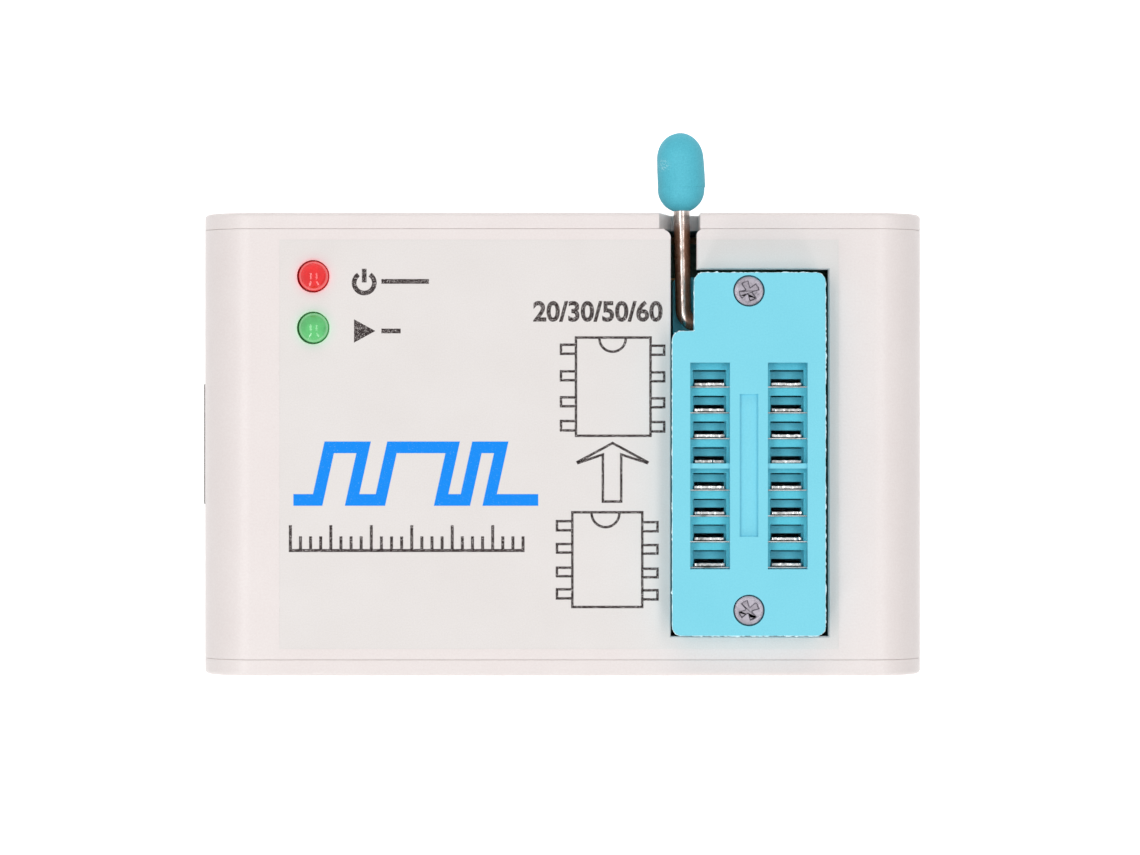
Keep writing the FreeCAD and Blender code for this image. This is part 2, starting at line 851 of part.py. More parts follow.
def make_usb_contacts():
    body = new_body("usb_contacts")
    start = usb_block_left() + d.usb_cavity_depth - d.usb_tongue_length + d.usb_contact_gap
    tail_low = board_low - d.lead_tail
    thickness = d.usb_contact_thickness
    upper = usb_middle + d.usb_tongue_height / 2
    lower = usb_middle - d.usb_tongue_height / 2 - thickness

    def draw_contacts(outline):
        for pin_left, low in ((usb_upper_pin(), upper), (usb_lower_pin(), lower)):
            outline.polygon([
                (start, low),
                (pin_left, low),
                (pin_left, tail_low),
                (pin_left + thickness, tail_low),
                (pin_left + thickness, low + thickness),
                (start, low + thickness),
            ])

    for name, sign in (("front_pair", -1), ("back_pair", 1)):
        middle = sign * d.usb_contact_spacing / 2
        add(body, name, "XZ_Plane", middle - d.usb_contact_width / 2,
            middle + d.usb_contact_width / 2, draw_contacts)
    return body


# Lamps

def make_lamp(label, back):
    """Round lamp: flange, barrel and a dome that is half a ball."""
    body = new_body(label)
    flange_top = lamp_low + d.lamp_flange_height
    add(body, "flange", "XY_Plane", lamp_low, flange_top,
        lambda outline: outline.circle(lamp_across, back, d.lamp_diameter + 2 * d.lamp_flange_step))
    add(body, "barrel", "XY_Plane", flange_top, lamp_top,
        lambda outline: outline.circle(lamp_across, back, d.lamp_diameter))
    round_edges(body, "dome", d.lamp_diameter / 2 - d.dome_flat,
                lambda edge: near(middle_of(edge).z, lamp_top))
    return body


def make_lamp_leads():
    body = new_body("led_leads")
    half = d.lead_width / 2

    def draw_leads(outline):
        for back in (red_lamp_back, green_lamp_back):
            for side in (-1, 1):
                middle = lamp_across + side * d.lead_spacing
                outline.rectangle(middle - half, middle + half, back - half, back + half)

    add(body, "leads", "XY_Plane", board_low - d.lead_tail, lamp_low, draw_leads)
    return body


# Lever socket

def row_rectangles(half, low, high):
    """Draws one rectangle over each of the two rows of contacts."""
    def draw(outline):
        for middle in (left_row, left_row + d.row_spacing):
            outline.rectangle(middle - half, middle + half, low, high)

    return draw


def make_cover():
    body = new_body("zif_cover")
    notch_right = arm_across + arm_room
    notch_front = shaft_back - arm_room
    add(body, "block", "XY_Plane", cover_low, cover_top,
        lambda outline: outline.polygon([
            (cover_left, cover_front),
            (cover_right, cover_front),
            (cover_right, cover_back),
            (notch_right, cover_back),
            (notch_right, notch_front),
            (cover_left, notch_front),
        ]))
    inner_corner = (notch_right, notch_front)
    round_edges(body, "corners", d.cover_corner,
                lambda edge: runs_along(edge, 2)
                and not (near(middle_of(edge).x, inner_corner[0])
                         and near(middle_of(edge).y, inner_corner[1])))
    plate_half = slider_half() + d.slide_fit
    cut(body, "slider_bay", "XY_Plane", cover_low, roof_low,
        lambda outline: outline.rectangle(
            socket_centre - plate_half, socket_centre + plate_half,
            slider_front() - d.slider_travel - d.slide_fit, slider_back() + d.slide_fit))
    neck_half = d.eccentric_length / 2 + d.slide_fit
    cut(body, "neck_bay", "XY_Plane", cover_low, roof_low,
        lambda outline: outline.rectangle(
            socket_centre - neck_half, socket_centre + neck_half,
            slider_back(), yoke_end() + d.part_gap))
    cut(body, "slots", "XY_Plane", roof_low, cover_top,
        row_rectangles(d.slot_width / 2, last_contact - d.slot_front_reach,
                       first_contact + d.slot_back_reach))
    bar_half = d.slot_bar_width / 2
    bar_middle = contact_middle + d.slot_bar_shift
    add(body, "slot_bars", "XY_Plane", roof_low, cover_top - d.slot_bar_sink,
        row_rectangles(d.slot_width / 2 + d.slot_bar_overlap,
                       bar_middle - bar_half, bar_middle + bar_half))
    cut(body, "plaque", "XY_Plane", cover_top - d.plaque_depth, cover_top,
        lambda outline: outline.rectangle(
            socket_centre - d.plaque_width / 2, socket_centre + d.plaque_width / 2,
            contact_middle - d.plaque_front_reach, contact_middle + d.plaque_back_reach))
    head_low = cover_top - d.cover_screw_sink - d.cover_screw_head_height
    cut(body, "screw_seats", "XY_Plane", head_low, cover_top,
        lambda outline: screw_pair(outline, d.cover_screw_head + 2 * d.part_gap))
    cut(body, "screw_holes", "XY_Plane", cover_low, cover_top,
        lambda outline: screw_pair(outline, d.cover_screw_diameter + 2 * d.part_gap))
    return body


def screw_pair(outline, diameter):
    outline.circle(socket_centre, cover_screw_back, diameter)
    outline.circle(socket_centre, cover_screw_front, diameter)


def slider_half():
    """Half the slider's width: it fills the cover's bay less its sliding clearance."""
    return d.cover_width / 2 - d.cover_wall - d.slide_fit


def pane_back(contact):
    """Back edge of the slider's pane at a contact."""
    return contact + d.contact_pitch - d.slider_bar - d.spring_thickness / 2


def slider_front():
    return last_contact - d.slider_bar - d.slider_end


def slider_back():
    return pane_back(first_contact) + d.slider_end


def yoke_end():
    """Back face of the yoke at rest."""
    return yoke_back + groove_half + d.yoke_wall


def make_slider():
    body = new_body("zif_slider")
    half = slider_half()
    add(body, "plate", "XY_Plane", slider_low, slider_top,
        lambda outline: outline.rectangle(
            socket_centre - half, socket_centre + half, slider_front(), slider_back()))
    rail_low = cover_low + d.running_fit
    rail_right = socket_centre + half

    def draw_rails(outline):
        left = socket_centre - half
        outline.rectangle(left, left + d.rail_width, slider_front(), slider_back())
        outline.rectangle(rail_right - d.rail_width, rail_right, slider_front(), slider_back())

    add(body, "rails", "XY_Plane", rail_low, slider_low, draw_rails)
    yoke_half = d.yoke_length / 2
    add(body, "neck", "XY_Plane", slider_low, slider_top,
        lambda outline: outline.rectangle(
            socket_centre - yoke_half, socket_centre + yoke_half,
            slider_back(), yoke_end()))
    yoke_front = yoke_back - groove_half - d.yoke_wall
    yoke_low = shaft_level - rod_radius / 2
    add(body, "yoke", "XY_Plane", yoke_low, slider_low,
        lambda outline: outline.rectangle(
            socket_centre - yoke_half, socket_centre + yoke_half, yoke_front, yoke_end()))
    slot_high = shaft_level + eccentric_offset + rod_radius + d.rod_clearance
    cut(body, "yoke_slot", "XY_Plane", yoke_low, slot_high,
        lambda outline: outline.rectangle(
            socket_centre - yoke_half, socket_centre + yoke_half,
            yoke_back - groove_half, yoke_back + groove_half))
    window = cut(body, "window", "XY_Plane", slider_low, slider_top,
                 row_rectangles(d.slider_window_width / 2,
                                first_contact - d.spring_thickness / 2,
                                pane_back(first_contact)))
    repeat(body, "windows", [window], "Y_Axis", d.contact_pitch, d.contact_count, True)
    return body


def make_base():
    body = new_body("zif_base")
    left = cover_left + d.base_inset
    right = cover_right - d.base_inset
    front = cover_front + d.base_inset
    back = cover_back - d.base_inset
    add(body, "block", "XY_Plane", base_low, cover_low,
        lambda outline: outline.rectangle(left, right, front, back))
    round_edges(body, "corners", d.cover_corner - d.base_inset,
                lambda edge: runs_along(edge, 2))
    tower_low = last_contact - d.pocket_length + d.pocket_back - d.tower_end
    tower_high = first_contact + d.pocket_back + d.contact_pitch - d.pocket_length
    add(body, "towers", "XY_Plane", cover_low, slider_low - d.part_gap,
        row_rectangles(d.tower_width / 2, tower_low, tower_high))
    pocket = cut(body, "pocket", "XY_Plane", base_low + d.pocket_floor,
                 slider_low - d.part_gap,
                 row_rectangles(d.pocket_width / 2,
                                first_contact + d.pocket_back - d.pocket_length,
                                first_contact + d.pocket_back))
    repeat(body, "pockets", [pocket], "Y_Axis", d.contact_pitch, d.contact_count, True)
    hole_half = d.pin_thickness / 2 + d.screw_fit
    pin_hole = cut(body, "pin_way", "XY_Plane", base_low, base_low + d.pocket_floor,
                   row_rectangles(d.pin_width / 2 + d.screw_fit,
                                  pin_back() - hole_half, pin_back() + hole_half))
    repeat(body, "pin_ways", [pin_hole], "Y_Axis", d.contact_pitch, d.contact_count, True)
    notch_right = arm_across + d.lever_bend_radius + d.rod_clearance
    notch_low = shaft_level - arm_room
    cut(body, "lever_notch", "XY_Plane", notch_low, cover_low,
        lambda outline: outline.rectangle(
            left - OVERRUN, notch_right, shaft_back - arm_room, back + OVERRUN))
    shaft_right = shaft_end() + d.running_fit
    cut(body, "shaft_bed", "YZ_Plane", notch_right - OVERRUN, shaft_right,
        lambda outline: outline.circle(shaft_back, shaft_level, 2 * groove_half))
    cut(body, "shaft_way", "XY_Plane", shaft_level, cover_low,
        lambda outline: outline.rectangle(
            notch_right - OVERRUN, shaft_right, shaft_back - groove_half, shaft_back + groove_half))
    bay_half = d.eccentric_length / 2 + d.slide_fit
    rest_gap = groove_half + d.yoke_wall + d.part_gap
    cut(body, "yoke_bay", "XY_Plane", notch_low, cover_low,
        lambda outline: outline.rectangle(
            socket_centre - bay_half, socket_centre + bay_half,
            yoke_back - d.slider_travel - rest_gap, yoke_back + rest_gap))
    screw_low = screw_tip_level() - OVERRUN
    cut(body, "screw_holes", "XY_Plane", screw_low, cover_low,
        lambda outline: screw_pair(outline, d.cover_screw_diameter + 2 * d.screw_fit))
    return body


def shaft_end():
    return cover_right - d.base_inset - d.shaft_end_wall


def screw_tip_level():
    return cover_top - d.cover_screw_sink - d.cover_screw_length


def make_cover_screws():
    body = new_body("cover_screws")
    head_top = cover_top - d.cover_screw_sink
    head_low = head_top - d.cover_screw_head_height
    add(body, "heads", "XY_Plane", head_low, head_top,
        lambda outline: screw_pair(outline, d.cover_screw_head))
    add(body, "shanks", "XY_Plane", screw_tip_level(), head_low,
        lambda outline: screw_pair(outline, d.cover_screw_diameter))

    def draw_crosses(outline):
        for back in (cover_screw_back, cover_screw_front):
            cross_outline(outline, socket_centre, back, d.cover_screw_cross,
                          d.cover_screw_slot)

    cut(body, "recesses", "XY_Plane", head_top - d.cover_screw_cross_depth, head_top,
        draw_crosses)
    return body


def make_contact_posts():
    """Fixed jaws with their pins; each is one flat stamping."""
    body = new_body("contact_posts")
    floor = base_low + d.pocket_floor
    tip = slider_top - d.post_sink
    pin_low = base_low - d.pin_length
    half = d.post_width / 2
    pin_half = d.pin_width / 2
    back = pin_back()

    def draw_posts(outline):
        for middle in (left_row, left_row + d.row_spacing):
            outline.polygon([
                (middle - pin_half, pin_low), (middle + pin_half, pin_low),
                (middle + pin_half, floor), (middle + half, floor),
                (middle + half, tip), (middle - half, tip),
                (middle - half, floor), (middle - pin_half, floor),
            ])

    post = add(body, "post", "XZ_Plane", back - d.post_thickness / 2,
               back + d.post_thickness / 2, draw_posts)
    repeat(body, "posts", [post], "Y_Axis", d.contact_pitch, d.contact_count, True)
    return body


def make_contact_springs():
    """Moving jaws: a leaf in front of each window, with a bar that lies on the slider."""
    body = new_body("contact_springs")
    leaf_low = slider_top - d.spring_depth
    bar_high = slider_top + d.spring_bar_height
    leaf_half = d.spring_width / 2
    bar_half = d.slot_width / 2

    def draw_springs(outline):
        for middle in (left_row, left_row + d.row_spacing):
            outline.polygon([
                (middle - leaf_half, leaf_low), (middle + leaf_half, leaf_low),
                (middle + leaf_half, slider_top), (middle + bar_half, slider_top),
                (middle + bar_half, bar_high), (middle - bar_half, bar_high),
                (middle - bar_half, slider_top), (middle - leaf_half, slider_top),
            ])

    spring = add(body, "spring", "XZ_Plane", first_contact - d.spring_thickness / 2,
                 first_contact + d.spring_thickness / 2, draw_springs)
    repeat(body, "springs", [spring], "Y_Axis", d.contact_pitch, d.contact_count, True)
    return body


def make_strips():
    body = new_body("socket_strips")
    front = pin_back() - row_span - d.contact_pitch / 2
    back = pin_back() + d.contact_pitch / 2
    add(body, "strips", "XY_Plane", board_top, base_low,
        row_rectangles(d.strip_width / 2, front, back))
    hole = cut(body, "hole", "XY_Plane", board_top, base_low,
               lambda outline: row_circles(
                   outline, d.strip_sleeve + 2 * d.strip_sleeve_gap))
    repeat(body, "holes", [hole], "Y_Axis", d.contact_pitch, d.contact_count, True)
    return body


def row_circles(outline, diameter):
    outline.circle(left_row, pin_back(), diameter)
    outline.circle(left_row + d.row_spacing, pin_back(), diameter)


def make_strip_pins():
    """Turned sleeves that take the socket's pins, each with a tail through the board."""
    body = new_body("strip_pins")
    sleeve_low = board_top + d.strip_sleeve_foot
    sleeve = add(body, "sleeve", "XY_Plane", sleeve_low, base_low,
                 lambda outline: row_circles(outline, d.strip_sleeve))
    tail = add(body, "tail", "XY_Plane", board_low - d.lead_tail, sleeve_low,
               lambda outline: row_circles(outline, d.pin_width))
    bore = cut(body, "bore", "XY_Plane", sleeve_low + d.strip_sleeve_foot, base_low,
               lambda outline: row_circles(outline, d.strip_bore))
    repeat(body, "pins", [sleeve, tail, bore], "Y_Axis", d.contact_pitch,
           d.contact_count, True)
    return body


# Lever

def make_lever_rod():
    """Bent rod: a shaft across the socket, a bend, and the arm; the eccentric moves the slider."""
    body = new_body("lever_rod")
    path = Outline(body, "path", "XY_Plane", shaft_level)
    bend = d.lever_bend_radius
    tilt = math.radians(d.lever_tilt.value)
    bend_across = arm_across + bend
    end = shaft_end()
    reach = shaft_back + lever_reach
    centre = Vector(bend_across.value, (shaft_back + bend).value, 0)
    turn = centre + bend.value * Vector(-math.cos(tilt), -math.sin(tilt), 0)
    rise = reach.value - turn.y
    tip = turn + Vector(-rise * math.tan(tilt), rise, 0)
    shaft_start = Vector(end.value, shaft_back.value, 0)
    shaft_stop = Vector(bend_across.value, shaft_back.value, 0)
    sketch = path.sketch
    sketch.addGeometry(Part.LineSegment(shaft_start, shaft_stop), False)
    arc = Part.Circle(centre, Vector(0, 0, 1), bend.value)
    sketch.addGeometry(Part.ArcOfCircle(arc, math.pi + tilt, 1.5 * math.pi), False)
    sketch.addGeometry(Part.LineSegment(turn, tip), False)
    sketch.addConstraint(Sketcher.Constraint("Tangent", 0, 2, 1, 2))
    sketch.addConstraint(Sketcher.Constraint("Tangent", 1, 1, 2, 1))
    sketch.addConstraint(Sketcher.Constraint("Horizontal", 0))
    path.fix("DistanceX", 0, 1, end)
    path.fix("DistanceY", 0, 1, shaft_back)
    path.fix("DistanceX", 1, 3, bend_across)
    path.fix_radius(1, bend)
    path.fix("DistanceY", 2, 2, reach)
    lean = sketch.addConstraint(Sketcher.Constraint("Angle", 2, math.pi / 2 + tilt))
    bind(sketch, f"Constraints[{lean}]", 90 + d.lever_tilt)
    section = Outline(body, "section", "YZ_Plane", end)
    section.circle(shaft_back, shaft_level, d.rod_diameter)
    doc.recompute()
    rod = body.newObject("PartDesign::AdditivePipe", "rod")
    rod.Profile = section.sketch
    rod.Spine = (sketch, ["Edge1", "Edge2", "Edge3"])
    swing = d.slider_travel / 2
    left = socket_centre - d.eccentric_length / 2
    right = socket_centre + d.eccentric_length / 2
    cut(body, "eccentric_room", "YZ_Plane", left, right,
        lambda outline: outline.rectangle(
            shaft_back - groove_half, shaft_back + groove_half,
            shaft_level - groove_half, shaft_level + groove_half))
    add(body, "eccentric", "YZ_Plane", left, right,
        lambda outline: outline.circle(
            shaft_back + swing, shaft_level + swing, d.rod_diameter))
    return body


def draw_capsule(outline, bore, radius, collar, crown, depth):
    """Half of a bored capsule: a ball at each end, the lower one cut off by the bore."""
    sketch = outline.sketch
    lower = Part.Circle(Vector(0, collar.value, 0), Vector(0, 0, 1), radius.value)
    upper = Part.Circle(Vector(0, crown.value, 0), Vector(0, 0, 1), radius.value)
    mouth = -math.atan2(collar.value, bore.value)
    corners = [
        Vector(radius.value, collar.value, 0), Vector(radius.value, crown.value, 0),
        Vector(0, crown.value + radius.value, 0), Vector(0, depth.value, 0),
        Vector(bore.value, depth.value, 0), Vector(bore.value, 0, 0),
    ]
    sketch.addGeometry(Part.ArcOfCircle(lower, mouth, 0), False)
    sketch.addGeometry(Part.LineSegment(corners[0], corners[1]), False)
    sketch.addGeometry(Part.ArcOfCircle(upper, 0, math.pi / 2), False)
    for start, stop in zip(corners[2:], corners[3:]):
        sketch.addGeometry(Part.LineSegment(start, stop), False)
    for geometry in range(sketch.GeometryCount):
        following = (geometry + 1) % sketch.GeometryCount
        sketch.addConstraint(Sketcher.Constraint("Coincident", geometry, 2, following, 1))
    outline.fix("DistanceX", 0, 3, 0)
    outline.fix("DistanceY", 0, 3, collar)
    outline.fix("DistanceX", 0, 1, bore)
    outline.fix("DistanceY", 0, 1, 0)
    outline.fix("DistanceY", 1, 1, collar)
    outline.fix("DistanceX", 2, 3, 0)
    outline.fix("DistanceY", 2, 3, crown)
    outline.fix_radius(2, radius)
    outline.fix("DistanceY", 2, 1, crown)
    outline.fix("DistanceX", 3, 1, 0)
    outline.fix("DistanceX", 4, 1, 0)
    outline.fix("DistanceY", 4, 1, depth)
    outline.fix("DistanceX", 5, 1, bore)
    outline.fix("DistanceY", 5, 1, depth)


def make_knob():
    """Moulded knob: a capsule on the arm's end, on the arm's own leaning line."""
    body = new_body("lever_knob")
    radius = d.knob_diameter / 2
    outline = Outline(body, "profile", "XY_Plane", as_size(0))
    bore = rod_radius + d.screw_fit
    depth = d.knob_length - d.knob_cover + d.knob_bore_room
    collar = root_of(radius * radius - bore * bore)
    crown = d.knob_length - radius
    draw_capsule(outline, bore, radius, collar, crown, depth)
    turned = body.newObject("PartDesign::Revolution", "turned")
    turned.Profile = outline.sketch
    turned.ReferenceAxis = (origin_part(body, "Y_Axis"), [""])
    turned.Angle = 360
    lean = math.radians(d.lever_tilt.value)
    bend = d.lever_bend_radius
    turn_across = arm_across + bend - bend * math.cos(lean)
    turn_back = shaft_back + bend - bend * math.sin(lean)
    start = shaft_back + knob_start
    bind(body, "Placement.Base.x", turn_across - (start - turn_back) * math.tan(lean))
    bind(body, "Placement.Base.y", start)
    bind(body, "Placement.Base.z", shaft_level)
    body.Placement = FreeCAD.Placement(
        body.Placement.Base, FreeCAD.Rotation(Vector(0, 0, 1), d.lever_tilt.value))
    bind(body, "Placement.Rotation.Angle", d.lever_tilt)
    return body


# Small parts on the board

def gull_wing(start, reach, rise, thickness):
    """Side view of a bent lead: out of the body at height rise, down, and out on the board."""
    knee = start + reach / 2
    return [
        (start, board_top + rise), (start, board_top + rise + thickness),
        (knee, board_top + rise + thickness), (knee, board_top + thickness),
        (start + reach, board_top + thickness), (start + reach, board_top),
        (knee - thickness, board_top), (knee - thickness, board_top + rise),
    ]


def make_microcontroller():
    body = new_body("microcontroller")
    half = d.chip_size / 2
    low = board_top + d.chip_stand
    add(body, "package", "XY_Plane", low, low + d.chip_height,
        lambda outline: outline.rectangle(
            d.chip_across - half, d.chip_across + half,
            d.chip_back - half, d.chip_back + half))
    return body


def make_microcontroller_leads():
    body = new_body("microcontroller_leads")
    half = d.chip_size / 2
    span = (d.chip_lead_count - 1) * d.chip_lead_pitch
    lead = add(body, "lead", "XZ_Plane", -span / 2 - d.chip_lead_width / 2,
               d.chip_lead_width / 2 - span / 2,
               lambda outline: outline.polygon(gull_wing(
                   half, d.chip_lead_reach, d.chip_height / 2, d.chip_lead_thickness)))
    repeat(body, "side", [lead], "Y_Axis", d.chip_lead_pitch, d.chip_lead_count)
    ring = body.newObject("PartDesign::PolarPattern", "sides")
    ring.TransformMode = "Whole shape"
    ring.Axis = (origin_part(body, "Z_Axis"), [""])
    ring.Angle = 360
    ring.Occurrences = 4
    body.Tip = ring
    bind(body, "Placement.Base.x", d.chip_across)
    bind(body, "Placement.Base.y", d.chip_back)
    return body


def make_buffers():
    body = new_body("buffer_chips")
    half_length_of_chip = d.buffer_length / 2
    half = d.buffer_width / 2
    low = board_top + d.chip_stand

    def draw(outline):
        for middle in (d.buffer_back, d.buffer_back - d.buffer_step):
            outline.rectangle(
                d.buffer_across - half_length_of_chip, d.buffer_across + half_length_of_chip,
                middle - half, middle + half)

    add(body, "packages", "XY_Plane", low, low + d.buffer_height, draw)
    return body


def make_buffer_leads():
    body = new_body("buffer_leads")
    span = (d.buffer_lead_count - 1) * d.buffer_lead_pitch
    reach = d.chip_lead_reach
    half = d.buffer_width / 2

    def draw(outline):
        for middle in (d.buffer_back, d.buffer_back - d.buffer_step):
            wing = gull_wing(half, reach, d.buffer_height / 2, d.chip_lead_thickness)
            outline.polygon([(middle + along, level) for along, level in wing])
            outline.polygon([(middle - along, level) for along, level in wing])

    left = d.buffer_across - span / 2 - d.chip_lead_width / 2
    lead = add(body, "lead", "YZ_Plane", left, left + d.chip_lead_width, draw)
    repeat(body, "side", [lead], "X_Axis", d.buffer_lead_pitch, d.buffer_lead_count)
    return body


def make_crystal():
    """Can with half-round ends, lying flat on its base plate."""
    body = new_body("crystal")
    half = d.crystal_width / 2
    end = d.crystal_length / 2
    add(body, "can", "XY_Plane", board_top, board_top + d.crystal_height,
        lambda outline: outline.rectangle(
            d.crystal_across - end, d.crystal_across + end,
            d.crystal_back - half, d.crystal_back + half))
    round_edges(body, "ends", half - d.dome_flat, lambda edge: runs_along(edge, 2))
    return body


def make_regulator():
    body = new_body("voltage_regulator")
    low = board_top + d.chip_stand
    add(body, "package", "XY_Plane", low, low + d.regulator_height,
        lambda outline: outline.rectangle(
            d.regulator_across - d.regulator_length / 2,
            d.regulator_across + d.regulator_length / 2,
            d.regulator_back - d.regulator_width / 2,
            d.regulator_back + d.regulator_width / 2))
    return body


def make_regulator_leads():
    body = new_body("regulator_leads")
    span = (d.regulator_lead_count - 1) * d.regulator_lead_pitch
    left = d.regulator_across - span / 2 - d.regulator_lead_width / 2
    wing = gull_wing(d.regulator_width / 2, d.chip_lead_reach, d.regulator_height / 2,
                     d.chip_lead_thickness)

    def draw_front(outline):
        outline.polygon([(d.regulator_back - along, level) for along, level in wing])

    lead = add(body, "lead", "YZ_Plane", left, left + d.regulator_lead_width, draw_front)
    repeat(body, "front", [lead], "X_Axis", d.regulator_lead_pitch, d.regulator_lead_count)
    tab_half = d.regulator_tab_width / 2
    add(body, "tab", "YZ_Plane", d.regulator_across - tab_half, d.regulator_across + tab_half,
        lambda outline: outline.polygon(
            [(d.regulator_back + along, level) for along, level in wing]))
    return body


def make_capacitors():
    """Round cans with a rolled groove above the base."""
    body = new_body("filter_capacitors")
    boss_edge = d.boss_diameter / 2 - case_screw_across
    across = boss_edge + d.capacitor_gap + d.capacitor_diameter / 2

    def places(outline, diameter):
        outline.circle(across, d.capacitor_back, diameter)
        outline.circle(across + d.capacitor_spacing, d.capacitor_back, diameter)

    groove_low = board_top + d.capacitor_foot
    groove_high = groove_low + d.capacitor_groove
    add(body, "feet", "XY_Plane", board_top, groove_low,
        lambda outline: places(outline, d.capacitor_diameter))
    add(body, "grooves", "XY_Plane", groove_low, groove_high,
        lambda outline: places(outline, d.capacitor_diameter - d.capacitor_groove))
    add(body, "cans", "XY_Plane", groove_high, board_top + d.capacitor_height,
        lambda outline: places(outline, d.capacitor_diameter))
    return body


def make_chip_row(label, across, back, height, spacing, count):
    body = new_body(label)
    chip = add(body, "chip", "XY_Plane", board_top, board_top + height,
               lambda outline: outline.rectangle(
                   across - d.resistor_length / 2, across + d.resistor_length / 2,
                   back - d.resistor_width / 2, back + d.resistor_width / 2))
    repeat(body, "row", [chip], "Y_Axis", spacing, count, True)
    return body


def make_everything():
    return [
        make_bottom_shell(),
        make_top_shell(),
        make_label(),
        make_board(),
        make_usb_shell(),
        make_usb_insulator(),
        make_usb_contacts(),
        make_lamp("led_red", red_lamp_back),
        make_lamp("led_green", green_lamp_back),
        make_lamp_leads(),
        make_base(),
        make_slider(),
        make_cover(),
        make_cover_screws(),
        make_contact_posts(),
        make_contact_springs(),
        make_strips(),
        make_strip_pins(),
        make_lever_rod(),
        make_knob(),
        make_microcontroller(),
        make_microcontroller_leads(),
        make_buffers(),
        make_buffer_leads(),
        make_crystal(),
        make_regulator(),
        make_regulator_leads(),
        make_capacitors(),
        make_chip_row("chip_resistors", d.resistor_across, d.resistor_back,
                      d.resistor_height, d.resistor_spacing, d.resistor_count),
        make_chip_row("chip_capacitors", usb_right + d.chip_capacitor_gap, d.chip_capacitor_back,
                      d.chip_capacitor_height, d.chip_capacitor_spacing,
                      d.chip_capacitor_count),
        make_screws("board_screws", board_screw_across, board_screw_back, board_top,
                    d.board_screw_head_height, d.board_screw_head, d.board_screw_diameter,
                    d.board_screw_length, False),
        make_screws("case_screws", case_screw_across, case_screw_back,
                    d.case_screw_sink - d.case_screw_head_height,
                    d.case_screw_head_height, d.case_screw_head, d.case_screw_diameter,
                    d.case_screw_length, True),
    ]


def check(bodies):
    """Stops on a failed feature, a cut that takes nothing, or a broken shape."""
    for thing in doc.Objects:
        if "Invalid" in thing.State or "Error" in thing.State:
            raise RuntimeError(f"{thing.Name} ({thing.Label}) failed: {thing.State}")
        if thing.TypeId == "PartDesign::Pocket":
            before = thing.BaseFeature.Shape.Volume
            if before - thing.Shape.Volume < 1e-6:
                raise RuntimeError(f"{thing.Name} cuts nothing")
    for body in bodies:
        if body.Shape.isNull() or not body.Shape.isValid():
            raise RuntimeError(f"{body.Label} has no valid shape")


bodies = make_everything()
doc.recompute()
check(bodies)
os.makedirs("parts", exist_ok=True)
for body in bodies:
    body.Shape.exportStep(f"parts/{body.Label}.step")
    print(body.Label, len(body.Shape.Solids), round(body.Shape.Volume, 2))
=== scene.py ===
import math
import random

import bmesh
import bpy
from bpy.props import FloatProperty, FloatVectorProperty, IntProperty, PointerProperty
from bpy.props import StringProperty
from mathutils import Matrix, Vector


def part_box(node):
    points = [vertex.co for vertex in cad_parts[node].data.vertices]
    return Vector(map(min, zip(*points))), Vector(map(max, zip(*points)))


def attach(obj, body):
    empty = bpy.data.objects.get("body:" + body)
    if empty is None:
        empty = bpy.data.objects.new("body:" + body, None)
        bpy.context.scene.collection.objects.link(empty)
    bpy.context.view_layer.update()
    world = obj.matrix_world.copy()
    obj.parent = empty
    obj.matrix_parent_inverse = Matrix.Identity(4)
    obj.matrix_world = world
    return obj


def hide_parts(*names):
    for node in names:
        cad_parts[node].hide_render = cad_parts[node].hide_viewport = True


bl_info = {
    "name": "Microcontroller Programmer",
    "version": (1, 0, 0),
    "blender": (4, 5, 0),
    "location": "View3D > Sidebar > Programmer",
    "description": "Finishes a small chip programmer with a lever socket, lamps and a USB inlet",
    "category": "Object",
}

# One millimetre in the scene's metres
MM = 0.001
# Corners closer than this are the same corner of a frame piece
JOINED = 0.0005 * MM
# Levels closer than this are the same level
LEVEL = 0.01 * MM
# Edges that bend by more degrees than this are broken and stay sharp in shading
SHARP = 35
# Distance from the end of the screws' box to the middle of a screw
SCREW_REACH = 1.45 * MM

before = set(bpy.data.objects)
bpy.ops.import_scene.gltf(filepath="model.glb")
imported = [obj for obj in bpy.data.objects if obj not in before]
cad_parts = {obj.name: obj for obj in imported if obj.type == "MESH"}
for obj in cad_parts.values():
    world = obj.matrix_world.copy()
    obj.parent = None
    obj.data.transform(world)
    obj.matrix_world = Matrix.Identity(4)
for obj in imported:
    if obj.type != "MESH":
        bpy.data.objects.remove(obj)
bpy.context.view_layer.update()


def tone(red, green, blue):
    """Linear colour of a printed colour given from 0 to 255."""
    channels = []
    for level in (red, green, blue):
        share = level / 255
        if share <= 0.04045:
            channels.append(share / 12.92)
        else:
            channels.append(((share + 0.055) / 1.055) ** 2.4)
    return tuple(channels)


def dimmed(colour, share):
    return [share * channel for channel in colour]


def colour_setting(name, description, colour):
    return FloatVectorProperty(
        name=name, description=description, subtype="COLOR", size=3, min=0, max=1, default=colour)


def length_setting(name, description, millimetres):
    return FloatProperty(
        name=name, description=description, subtype="DISTANCE", unit="LENGTH",
        default=millimetres * MM, precision=5)


def angle_setting(name, description, degrees):
    return FloatProperty(
        name=name, description=description, subtype="ANGLE", unit="ROTATION",
        default=math.radians(degrees))


def amount_setting(name, description, amount):
    return FloatProperty(name=name, description=description, default=amount, min=0)


# Settings

